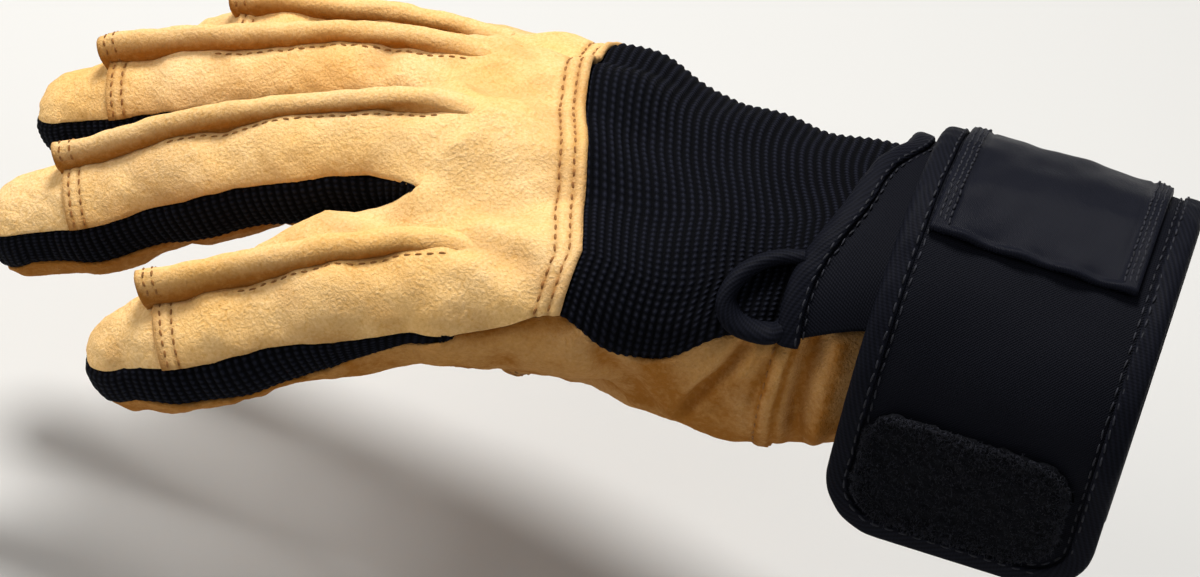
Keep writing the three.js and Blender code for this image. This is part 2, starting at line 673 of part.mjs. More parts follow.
// Sheet on the strap between two heights, with its free end rounded
function strapSheet(u0, u1, x0, x1, corner, h0, h1, rows, cols, cornerStart = 0) {
  const sheet = new Shell();
  const hw = (x1 - x0) / 2, xm = (x0 + x1) / 2;
  const cut = (v, r) => {
    if (!r) return 0;
    const k = Math.max(0, (Math.abs(v) * hw - (hw - r)) / r);
    return r * (1 - Math.sqrt(Math.max(0, 1 - k * k)));
  };
  const vs = [];
  for (let j = 0; j <= cols; j++) vs.push(Math.sin(mix(-1, 1, j / cols) * Math.PI / 2));
  const grid = [];
  for (let i = 0; i <= rows; i++) {
    grid.push(vs.map((v) => {
      const plain = mix(u0, u1, i / rows);
      const c1 = u1 - corner - 1, c0 = u0 + cornerStart + 1;
      let u = plain;
      if (corner && plain > c1) u = c1 + (plain - c1) * (u1 - cut(v, corner) - c1) / (u1 - c1);
      if (cornerStart && plain < c0) u = c0 - (c0 - plain) * (c0 - u0 - cut(v, cornerStart)) / (c0 - u0);
      return [strapPoint(u, xm + v * hw, h1), strapPoint(u, xm + v * hw, h0)];
    }));
  }
  sheet.grid(grid);
  return sheet.solid();
}
const TAPE = { wide: 4.4, web: 0.7, slack: 0.4, leg: 0.6 };
{
  const inset = TAPE.web + TAPE.slack;
  const t = STRAP_T / 2;
  const total = PATH.total;
  piece("wrist_strap", strapSheet(inset, total - inset, STRAP.left + inset, STRAP.right - inset,
    STRAP.corner - inset, -t, t, 36, 6), TWILL, 0.9);
  const hi = t + TAPE.slack + TAPE.leg, mid = t + TAPE.slack;
  const u = [[TAPE.wide, hi], [0, hi], [0, -hi], [TAPE.wide, -hi], [TAPE.wide, -mid], [TAPE.web, -mid],
    [TAPE.web, mid], [TAPE.wide, mid]];
  const run = [];
  const c = STRAP.corner;
  for (const v of steps(0, total - c, 32)) run.push([v, STRAP.left, 0, 1]);
  for (const w of steps(0, 90, 4).slice(1)) {
    run.push([total - c + c * Math.sin(rad(w)), STRAP.left + c - c * Math.cos(rad(w)), -Math.sin(rad(w)),
      Math.cos(rad(w))]);
  }
  for (const w of steps(90, 0, 4)) {
    run.push([total - c + c * Math.sin(rad(w)), STRAP.right - c + c * Math.cos(rad(w)), -Math.sin(rad(w)),
      -Math.cos(rad(w))]);
  }
  for (const v of steps(total - c, 0, 32).slice(1)) run.push([v, STRAP.right, 0, -1]);
  const points = run.map(([v, x]) => strapPoint(v, x, 0));
  const normals = run.map(([v]) => outward(PATH.at(v)));
  const inward = run.map(([v, , du, dx]) => {
    const d = PATH.at(v).d;
    return [dx, du * d[0], du * d[1]];
  });
  piece("strap_binding", sweep(points, normals, inward, u), TWILL, 0.85);
  // Bare label patch and pile patch on the outer face: start and end from the free end, edges along X
  const lift = t + SEAT;
  piece("label_patch", strapSheet(total - 118, total - 67, -48.6, -6.8, 0, lift, lift + 0.9, 10, 3), TWILL, 0.8);
  piece("pile_patch", strapSheet(total - 31, total - 5.6, -48.4, -7, 9, lift, lift + 0.9, 5, 6, 6), TWILL, 1);
}

// Inner wrist band on the body of the hand: x of its edge by angle, near end, far end
const BAND_EDGE = [[-66, -69], [-45, -70.5], [-16, -66.8], [12, -63.8], [26, -61], [60, -60.5], [110, -60],
  [202, -60]];
const BAND = { right: -3, low: 1.1, high: 2.5 };
function bandRay(x, deg) {
  return [[x, 0, -0.5], [0, Math.sin(rad(deg)), Math.cos(rad(deg))]];
}
{
  const sheet = new Shell();
  const grid = steps(0, 1, 26).map((r) => steps(0, 1, 4).map((c) => {
    const near = mix(-67, -56, c);
    const deg = mix(near, 200, r);
    const left = table(BAND_EDGE, deg, 1) + 1.7;
    const x = mix(left, BAND.right, c);
    const [o, d] = bandRay(x, deg);
    return [reach(o, d, BAND.high, handForm), reach(o, d, BAND.low, handForm)];
  }));
  sheet.grid(grid);
  piece("wrist_band", sheet.solid(), TWILL, 0.9);
  const hi = 3.35, lo = 0.3;
  const prof = [[4.2, hi], [0, hi], [0, lo], [4.2, lo], [4.2, lo + 0.5], [0.7, lo + 0.5], [0.7, hi - 0.5],
    [4.2, hi - 0.5]];
  const degs = steps(-67, 200, 26);
  const rings = degs.map((deg) => {
    const x = table(BAND_EDGE, deg, 1);
    return prof.map(([a, h]) => {
      const [o, d] = bandRay(x + a, deg);
      return reach(o, d, h, handForm);
    });
  });
  const n = prof.length;
  const pos = rings.flat();
  const tris = [];
  for (let i = 0; i + 1 < rings.length; i++) {
    for (let j = 0; j < n; j++) {
      const a = i * n + j, b = i * n + (j + 1) % n;
      tris.push([a, b, b + n], [a, b + n, a + n]);
    }
  }
  const m = (rings.length - 1) * n;
  const shape = prof.map(([a, h]) => new THREE.Vector2(a, h));
  for (const [a, b, c] of THREE.ShapeUtils.triangulateShape(shape, [])) tris.push([a, b, c], [m + a, m + c, m + b]);
  piece("band_binding", solidFrom(pos, windingFixed(tris)), TWILL, 0.85);
}
// Loop of tape beside the band: x and angle of its middle line, width, heights
const LOOP = [[-71.8, -41], [-76, -41.5], [-79.6, -46], [-81.4, -54], [-81.2, -62], [-78.6, -68.5], [-74.6, -70.5],
  [-71.6, -68]];
{
  const prof = [[-1.9, 0.75], [-1.9, 2.1], [-1, 2.9], [1, 2.9], [1.9, 2.1], [1.9, 0.75]];
  const curve = new THREE.CatmullRomCurve3(LOOP.map(([x, a]) => new THREE.Vector3(x, a * 0.62, 0)), false,
    "centripetal");
  const rings = steps(0, 1, 14).map((q) => {
    const p = curve.getPointAt(q), t = curve.getTangentAt(q);
    return prof.map(([w, h]) => {
      const [o, d] = bandRay(p.x - t.y * w, (p.y + t.x * w) / 0.62);
      return reach(o, d, h, handForm);
    });
  });
  const n = prof.length;
  const pos = rings.flat();
  const tris = [];
  for (let i = 0; i + 1 < rings.length; i++) {
    for (let j = 0; j < n; j++) {
      const a = i * n + j, b = i * n + (j + 1) % n;
      tris.push([a, b, b + n], [a, b + n, a + n]);
    }
  }
  const m = (rings.length - 1) * n;
  for (let j = 1; j + 1 < n; j++) tris.push([0, j + 1, j], [m, m + j, m + j + 1]);
  piece("band_loop", solidFrom(pos, windingFixed(tris)), TWILL, 0.85);
}

export default glove;
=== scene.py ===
import bpy
import numpy as np
from mathutils import Matrix, Vector


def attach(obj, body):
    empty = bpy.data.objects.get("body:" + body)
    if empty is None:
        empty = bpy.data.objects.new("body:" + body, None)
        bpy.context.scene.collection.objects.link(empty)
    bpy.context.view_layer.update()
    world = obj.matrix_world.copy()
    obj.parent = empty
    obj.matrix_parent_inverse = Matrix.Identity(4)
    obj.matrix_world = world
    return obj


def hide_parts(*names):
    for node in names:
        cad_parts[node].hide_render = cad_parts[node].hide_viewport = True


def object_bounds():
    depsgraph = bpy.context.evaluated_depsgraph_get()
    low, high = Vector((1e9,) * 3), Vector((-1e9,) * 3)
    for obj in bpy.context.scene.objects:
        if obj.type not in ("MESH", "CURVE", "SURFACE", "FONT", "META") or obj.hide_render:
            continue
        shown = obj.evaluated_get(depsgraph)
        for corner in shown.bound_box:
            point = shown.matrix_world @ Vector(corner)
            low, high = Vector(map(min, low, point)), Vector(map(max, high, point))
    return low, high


bl_info = {
    "name": "Training Glove",
    "version": (1, 0, 0),
    "blender": (4, 5, 0),
    "location": "View3D > Sidebar > Glove",
    "description": "Leather, knit, straps and thread of a full-finger training glove on its CAD solids",
    "category": "Object",
}

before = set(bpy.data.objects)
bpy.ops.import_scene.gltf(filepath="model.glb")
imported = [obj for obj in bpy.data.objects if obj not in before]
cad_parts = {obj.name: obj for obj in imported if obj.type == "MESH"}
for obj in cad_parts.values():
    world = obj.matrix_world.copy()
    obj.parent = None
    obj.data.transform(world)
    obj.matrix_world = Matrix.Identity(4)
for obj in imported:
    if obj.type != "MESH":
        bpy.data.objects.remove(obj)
CAD_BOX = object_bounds()

# Sizes are in millimetres until a mesh is made. Fingers point to -X, the thumb side is -Y,
# the back of the hand is +Z, and the origin is the centre of the open cuff.
MM = 0.001

# Spine of each finger from the wrist to the fingertip: x, y, z, radius
FINGERS = {
    "index": [[20, -11, -1, 16], [-58, -13, -2, 15.5], [-88, -23, 0, 15.3], [-112, -30.5, -1, 14.2],
              [-134, -37, -5, 12.6], [-155, -42.5, -12.5, 12.4], [-176, -48, -24.6, 12.6],
              [-186, -50.8, -30, 12.2], [-193.5, -52.8, -33.8, 10.8]],
    "middle": [[20, -4, 0, 16], [-58, -5, 0, 16], [-88, -8, 1.5, 15.5], [-120, -9.5, 3.5, 14],
               [-147, -11, 7.2, 12.4], [-175, -14.5, -3.2, 12.2], [-195, -17.5, -14.2, 12.2],
               [-214, -21, -27, 12.2], [-228, -24, -34, 10.8]],
    "ring": [[20, 4, 0, 16], [-58, 5, 0, 16], [-88, 9, 1.2, 15], [-120, 12.5, 3.2, 13.8],
             [-151, 14.4, 2.6, 11.7], [-175, 13.8, -3.5, 11.7], [-206, 12, -17, 11.8],
             [-219, 11.5, -24.5, 11.6], [-232, 10.6, -31.5, 10.2]],
    "little": [[20, 11, -1, 16], [-58, 13, -2, 15], [-88, 21, -1.5, 14], [-118, 30, -2.4, 12.6],
               [-148, 37.1, -8.4, 10.8], [-171, 38.2, -12.8, 10.6], [-194, 39, -20, 10.5],
               [-204, 39.4, -24.5, 10.3], [-212, 39.6, -28, 9.4]],
}
ORDER = ["index", "middle", "ring", "little"]
# Row of the spine where each finger leaves the hand
KNUCKLE_ROW = 4
THUMB = [[-52, -12, -7, 14], [-74, -21, -11.5, 14.6], [-94, -22, -14.8, 13],
         [-110, -12, -23.4, 11.2], [-127, -7.5, -33.4, 10.4]]
THUMB_ROOT_ROW = 2
# Two bones of the wrist: start, end, start radius, end radius
WRIST = [[[20, -7, 0], [-60, -8.5, -1], 24.3, 23.3], [[20, 7, 0], [-60, 8.5, -1], 24.3, 23.3]]
# Leather drawn tight beside the root of the index finger, and the webs between the fingers, as bones
FLANGE = [[[-147, -26.8, 3], [-160, -33, -5], 8, 6.4], [[-160, -33, -5], [-171, -40, -12], 6.4, 6.6]]
WEBS = [[[-112, -20, 2.5], [-147, -26.8, 3], 10, 8], *FLANGE,
        [[-118, 1.5, 5], [-149, 2.2, 4.6], 10, 7.4], [[-116, 21, 1], [-148, 26.2, -4.4], 9.5, 6.8]]
# Distances over which two bones round into each other
BODY_BLEND = 10
FINGER_BLEND = 7
SPINE_BLEND = 4
# x of the leather back's hem, the web, the cap seam, and the fork, from which rows go round the finger
STATIONS = {
    "index": {"hem": -110.5, "web": -139, "seam": -184.5, "fork": -156},
    "middle": {"hem": -118.5, "web": -140, "seam": -216, "fork": -160},
    "ring": {"hem": -125.5, "web": -142, "seam": -219.5, "fork": -162},
    "little": {"hem": -126.5, "web": -140, "seam": -202.5, "fork": -160},
}
# x of the cuff's mouth
CUFF_X = -0.5
# Share of the finger, edge of the back leather, edge of the palm leather, degrees from the top
SIDE_EDGES = [[0, 76, 138], [0.25, 72, 134], [0.55, 70, 122], [0.85, 66, 108], [1, 62, 104]]
OUTER_EDGES = [[0, 84, 110], [0.15, 78, 122], [0.35, 73, 130], [0.6, 71, 124], [0.85, 66, 110], [1, 62, 104]]
# Rise of the two knit edges over the finger's own line at the fingertip, degrees
TIP_TOP = 24
TIP_LOW = -34
# Where the crease lies between two fingers, as a share of the way, and how far each web stands ahead
VALLEY_SHARE = [0.41, 0.5, 0.54]
WEB_DEPTH = [8, 11, 11]
WEB_AHEAD = 1.7
# x, edge of the back, edge of the palm, degrees from straight up
THUMB_SIDE_EDGE = [
    [5, -55, -55], [-48, -50, -50], [-59, -51.5, -51.5], [-68, -59, -59], [-78, -66, -66], [-83, -74, -74],
    [-88.5, -91, -91], [-93.5, -99, -99], [-98.4, -97, -97], [-106, -79, -79], [-111.5, -68, -68],
    [-122, -80, -80], [-131, -88, -88], [-133, -88, -94], [-139, -86, -101], [-147, -84, -110]]
LITTLE_SIDE_EDGE = [[5, 82, 82], [-57, 80, 80], [-88, 84, 84], [-111.5, 86, 86], [-131, 90, 90],
                    [-133, 89, 95], [-140, 86, 102], [-149, 84, 112]]
# x where the knit of the two outer sides ends
OUTER_KNIT_END = -133
# x of evenly spaced rows over the knuckles, on the index finger
KNUCKLE_ROWS = [-111.5, -117, -122, -131, -133, -139]
# Half of the seam gap between two pieces round a finger, as degrees at its radius
SEAM_GAP = 0.4
FINGER_RADIUS = 12.5
HALF = (SEAM_GAP / FINGER_RADIUS) * 90 / np.pi
HEM_X = STATIONS["index"]["hem"]
WEB_X = STATIONS["index"]["web"]


# Small helpers

def mix(a, b, t):
    """Share t of the way from a to b."""
    return a + (b - a) * t


def unit(v):
    """Vectors scaled to length one."""
    return v / np.maximum(np.sqrt(np.einsum("...i,...i->...", v, v))[..., None], 1e-12)


def table(rows, x, col):
    """Straight lines between the rows of a table, by its first column."""
    r = np.array(rows, float)
    r = r[np.argsort(r[:, 0])]
    return np.interp(x, r[:, 0], r[:, col])


def spline_weights(knots, at):
    """Weights of a natural cubic spline: one banded system gives its second derivatives at the knots,
    and a value is the mix of two knots plus the usual cubic share of their second derivatives."""
    knots, at = np.asarray(knots, float), np.asarray(at, float)
    n, h = len(knots), np.diff(knots)
    a, b = np.eye(n), np.zeros((n, n))
    i = np.arange(1, n - 1)
    a[i, i - 1], a[i, i], a[i, i + 1] = h[i - 1] / 6, (h[i - 1] + h[i]) / 3, h[i] / 6
    b[i, i - 1], b[i, i], b[i, i + 1] = 1 / h[i - 1], -1 / h[i - 1] - 1 / h[i], 1 / h[i]
    bend = np.linalg.solve(a, b)
    k = np.clip(np.searchsorted(knots, at, side="right") - 1, 0, n - 2)
    hk = h[k]
    p = (knots[k + 1] - at) / hk
    q = 1 - p
    w = np.zeros((len(at), n))
    r = np.arange(len(at))
    w[r, k] += p
    w[r, k + 1] += q
    before, after = (p ** 3 - p) * hk ** 2 / 6, (q ** 3 - q) * hk ** 2 / 6
    return w + (before[:, None] * bend[k] + after[:, None] * bend[k + 1])


def soft_table(rows, x, col):
    """Smooth curve through the rows of a table, held level beyond its ends."""
    r = np.array(rows, float)
    r = r[np.argsort(r[:, 0])]
    x = np.clip(np.asarray(x, float), r[0, 0], r[-1, 0])
    return spline_weights(r[:, 0], x.ravel()).dot(r[:, col]).reshape(x.shape)


def side_edge(rows, x, which):
    """Edge of the back leather (which 1) or palm leather (which -1): a smooth middle line and half of the
    straight-line opening between the two."""
    r = np.array(rows, float)
    middle = soft_table(np.stack([r[:, 0], (r[:, 1] + r[:, 2]) / 2], 1), x, 1)
    return middle + which * table(np.stack([r[:, 0], (r[:, 1] - r[:, 2]) / 2], 1), x, 1)


def waves(p, size, seed, count=14):
    """Smooth noise near -1..1: a sum of plane waves of about one wavelength in seeded directions."""
    rng = np.random.default_rng(seed)
    k = rng.normal(size=(count, 3))
    k = k / np.linalg.norm(k, axis=1)[:, None] * (2 * np.pi / size) * rng.uniform(0.6, 1.5, count)[:, None]
    return np.sin(p @ k.T + rng.uniform(0, 6.283, count)).sum(-1) / np.sqrt(count * 1.2)


def near(p, line):
    """Distance from each point to the nearest point of a dense line."""
    out = np.empty(len(p))
    for i in range(0, len(p), 4000):
        d = ((p[i:i + 4000, None] - line[None]) ** 2).sum(-1)
        out[i:i + 4000] = np.sqrt(d.min(1))
    return out


def bell(d, at, half):
    """Bell-shaped bump of height one where a distance passes a place, with that half width."""
    return np.exp(-((d - at) / half) ** 2)


def relief(d, rows):
    """Sum of bells over a distance. A row is a bell's place, half width and height."""
    return sum(height * bell(d, at, half) for at, half, height in rows)


def swell(p, *rows):
    """Sum of wave fields. A row is a field's height, wavelength and seed."""
    return sum(height * waves(p, size, seed) for height, size, seed in rows)


def ease(t):
    """Zero to one with level ends: three squares less two cubes."""
    t = np.clip(t, 0, 1)
    return t * t * (3 - 2 * t)


def arc_of(points):
    """Length along a line at each of its points."""
    return np.concatenate([[0], np.cumsum(np.linalg.norm(np.diff(points, axis=0), axis=1))])


def taken(at, arc, rows):
    """Rows of numbers along a line, taken at other lengths."""
    return np.stack([np.interp(at, arc, rows[:, i]) for i in range(rows.shape[1])], -1)


def polyline(points, step=0.5):
    """A smooth line through points, sampled about every step."""
    p = np.array(points, float)
    arc = arc_of(p)
    n = max(3, int(arc[-1] / step))
    return spline_weights(arc, np.linspace(0, arc[-1], n)) @ p


# The worn form

def bone(p, a, b, ra, rb):
    """Distance to a round bone: distance to its segment less the radius there."""
    a = np.asarray(a, float)
    ab = np.asarray(b, float) - a
    q = p - a
    t = np.clip(q @ ab / (ab @ ab), 0, 1)
    q = q - t[..., None] * ab
    return np.sqrt(np.einsum("...i,...i->...", q, q)) - mix(ra, rb, t)


def blend(a, b, k):
    """The lower of two distances, rounded where they are within k of each other."""
    h = np.maximum(k - np.abs(a - b), 0) / k
    return np.minimum(a, b) - h * h * k * 0.25


def chain(p, rows, first, last):
    """Distance to a run of bones, blended one after another."""
    d = None
    for i in range(first, last):
        e = bone(p, rows[i][:3], rows[i + 1][:3], rows[i][3], rows[i + 1][3])
        d = e if d is None else blend(d, e, SPINE_BLEND)
    return d


def hand_form(p):
    """The body of the hand: wrist, four hand bones, webs and the thumb's root in one blend."""
    d = None
    for a, b, ra, rb in WRIST:
        e = bone(p, a, b, ra, rb)
        d = e if d is None else blend(d, e, BODY_BLEND)
    for f in ORDER:
        d = blend(d, chain(p, FINGERS[f], 0, KNUCKLE_ROW), BODY_BLEND)
    for a, b, ra, rb in WEBS:
        d = blend(d, bone(p, a, b, ra, rb), SPINE_BLEND)
    return blend(d, chain(p, THUMB, 0, THUMB_ROOT_ROW), BODY_BLEND)


def glove_form(p):
    """The body of the hand with its four fingers."""
    d = None
    for f in ORDER:
        e = chain(p, FINGERS[f], KNUCKLE_ROW - 1, len(FINGERS[f]) - 1)
        d = e if d is None else np.minimum(d, e)
    return blend(hand_form(p), d, FINGER_BLEND)


def finger_form(f):
    """One finger's own form. The index finger's has the flange of leather beside its root."""
    def form(p):
        """Distance to the finger's surface, negative inside."""
        d = chain(p, FINGERS[f], 1, len(FINGERS[f]) - 1)
        for a, b, ra, rb in (FLANGE if f == "index" else []):
            d = blend(d, bone(p, a, b, ra, rb), SPINE_BLEND)
        return d
    return form


def thumb_form(p):
    """The thumb's own form."""
    return chain(p, THUMB, THUMB_ROOT_ROW - 1, len(THUMB) - 1)


def reach(o, d, level, form, tries=26):
    """Walk along rays from inside until the form's distance is the level."""
    o, d = np.broadcast_arrays(np.asarray(o, float), np.asarray(d, float))
    t = np.zeros(o.shape[:-1])
    for _ in range(tries):
        t = np.clip(t - (form(o + d * t[..., None]) - level) * 0.92, 0, 70)
    return o + d * t[..., None]


class Spine:
    """Smooth line through points, whose tangents follow the root of the spacing, by arc length."""

    def __init__(self, rows, steps=80):
        p = np.array(rows, float)[:, :3]
        e = np.vstack([2 * p[0] - p[1], p, 2 * p[-1] - p[-2]])
        dt = np.sqrt(np.linalg.norm(np.diff(e, axis=0), axis=1))
        d = np.diff(e, axis=0) / dt[:, None]
        tan = d[:-1] - (e[2:] - e[:-2]) / (dt[1:] + dt[:-1])[:, None] + d[1:]
        h = dt[1:-1, None, None]
        w = np.linspace(0, 1, steps, endpoint=False)[None, :, None]
        line = ((2 * w ** 3 - 3 * w ** 2 + 1) * p[:-1, None] + (w ** 3 - 2 * w ** 2 + w) * tan[:-1, None] * h
                + (3 * w ** 2 - 2 * w ** 3) * p[1:, None] + (w ** 3 - w ** 2) * tan[1:, None] * h)
        self.points = np.vstack([line.reshape(-1, 3), p[-1]])
        self.arc = arc_of(self.points)
        self.length = self.arc[-1]
        self.tangents = unit(np.gradient(self.points, self.arc, axis=0))

    def at(self, s):
        """Points at arc lengths."""
        return taken(s, self.arc, self.points)

    def where_x(self, x):
        """Arc length where the line has that x."""
        return np.interp(-np.asarray(x, float), -self.points[:, 0], self.arc)

    def frame(self, s):
        """Origin, forward, up and side at arc lengths."""
        t = unit(taken(s, self.arc, self.tangents))
        up = unit(np.array([0, 0, 1.0]) - t * t[..., 2:])
        return self.at(s), t, up, np.cross(t, up)


SPINES = {f: Spine(FINGERS[f]) for f in ORDER}
THUMB_SPINE = Spine(THUMB)


def around(up, side, deg):
    """Direction turned by degrees from up towards side."""
    a = np.radians(np.asarray(deg, float))[..., None]
    return up * np.cos(a) + side * np.sin(a)


def share(f, s):
    """Share of the finger's length from fork to tip."""
    fork = SPINES[f].where_x(STATIONS[f]["fork"])
    return (s - fork) / (SPINES[f].length - fork)


def edges_of(f, side, s):
    """Angles of the back leather's and palm leather's edges on one side of a finger."""
    k = ORDER.index(f)
    outside = (k == 0 and side < 0) or (k == 3 and side > 0)
    rows = OUTER_EDGES if outside else SIDE_EDGES
    return soft_table(rows, share(f, s), 1), soft_table(rows, share(f, s), 2)


def hand_origin(f, x):
    """Point of the finger's spine at that x."""
    return SPINES[f].at(SPINES[f].where_x(x))


def across_hand(x):
    """x of the same row on all four fingers, from its x on the index finger."""
    x = np.asarray(x, float)
    out = []
    for f in ORDER:
        near_wrist = mix(CUFF_X, STATIONS[f]["hem"], (x - CUFF_X) / (HEM_X - CUFF_X))
        near_web = mix(STATIONS[f]["hem"], STATIONS[f]["web"], (x - HEM_X) / (WEB_X - HEM_X))
        out.append(np.where(x >= HEM_X, near_wrist, near_web))
    return np.stack(out, -1)


def crease_origin(j, x, sign):
    """Point between the spines of two neighbouring fingers, under the crease (sign 1) or over it."""
    first, second = hand_origin(ORDER[j], x), hand_origin(ORDER[j + 1], x)
    return mix(first, second, VALLEY_SHARE[j] if sign > 0 else 0.5)


def hand_strips(x, sign, cols, level, low, high, ahead, skew=0.0):
    """Four strips side by side over the hand, one per finger. A row's x is a spline of its x on the four
    fingers, drawn ahead near each crease. A point lies on a ray square to X from the finger's spine, turned
    evenly between the two creases beside the finger, where the form's distance is the level. A crease lies
    straight above or below the shared line between two spines."""
    place = np.arange(4 * cols + 1) / cols
    xs = across_hand(x) @ spline_weights([0.5, 1.5, 2.5, 3.5], np.clip(place, 0.5, 3.5)).T
    for j in range(3):
        xs = xs - WEB_DEPTH[j] * ahead[:, None] * np.exp(-((place - j - 1) / 0.27) ** 2)
    xs = xs + skew * np.clip((place - 3.3) / 0.7, 0, 1) ** 2
    creases = []
    for j in range(3):
        xc = xs[:, (j + 1) * cols]
        o = crease_origin(j, xc, sign)
        creases.append(reach(o, [0, 0, float(sign)], level, glove_form))
    strips = []
    up, side = np.array([0, 0, 1.0]), np.array([0, 1.0, 0])
    for k, f in enumerate(ORDER):
        o = hand_origin(f, xs[:, k * cols:(k + 1) * cols + 1])
        ends = []
        for j, outer, c in ((k - 1, low, 0), (k, high, -1)):
            if 0 <= j <= 2:
                v = creases[j] - o[:, c]
                ends.append(np.degrees(np.arctan2(v[:, 1], v[:, 2])))
            else:
                ends.append(np.broadcast_to(outer, len(x)).astype(float))
        if sign < 0:
            ends = [np.where(e > 0, e - 360, e) for e in ends]
        q = np.linspace(0, 1, cols + 1)[None]
        deg = mix(ends[0][:, None], ends[1][:, None], q)
        p = reach(o, around(up, side, deg), level, glove_form)
        if k > 0:
            p[:, 0] = creases[k - 1]
        if k < 3:
            p[:, -1] = creases[k]
        strips.append(p)
    return strips


def finger_rows(f, s, low, high, cols, level):
    """Rows around one finger: rays square to the spine, turned evenly from low to high degrees."""
    o, _, up, side = SPINES[f].frame(s)
    deg = mix(low[:, None], high[:, None], np.linspace(0, 1, cols + 1)[None])
    return reach(o[:, None], around(up[:, None], side[:, None], deg), level, finger_form(f))


def tip_rows(f, rows, cols, column, level):
    """Rounded end of a finger piece: rays turn from the last section to a rim around the tip, whose
    height over the finger's own line follows the sine of the way to the middle."""
    o, t, up, side = SPINES[f].frame(np.array([SPINES[f].length]))
    o, t, up, side = o[0], t[0], up[0], side[0]
    w = np.linspace(-1, 1, cols + 1)
    lo = edges_of(f, -1, SPINES[f].length)[column]
    hi = edges_of(f, 1, SPINES[f].length)[column]
    e = np.where(w < 0, lo, hi)
    sgn, rise = (-HALF, TIP_TOP) if column == 0 else (HALF, TIP_LOW)
    q = (w + 1) / 2
    start = around(up, side, mix(-lo + HALF, hi - HALF, q) if column == 0
                   else mix(-lo - HALF, hi + HALF - 360, q))
    turn = 1 - np.abs(w)
    lift = np.radians(mix(90 - e - sgn, rise - sgn, np.sin(np.pi / 2 * turn)))[:, None]
    lat = unit(side * np.sin(np.pi / 2 * w)[:, None] + t * np.cos(np.pi / 2 * w)[:, None])
    end = unit(up * np.sin(lift) + lat * np.cos(lift))
    r = (np.arange(1, rows + 1) / rows)[:, None, None]
    d = unit(mix(start[None], end[None], r))
    d = np.where((np.abs(w) > 0.999)[None, :, None], end[None], d)
    return reach(np.broadcast_to(o, d.shape), d, level, finger_form(f))


def bridge(before, after, count):
    """Rows between two runs of rows: a natural spline by row number, taken between the runs."""
    rows = np.concatenate([before, after])
    at = len(before) - 1 + np.arange(1, count) / count
    return np.einsum("ij,jkl->ikl", spline_weights(np.arange(len(rows)), at), rows)


# Meshes

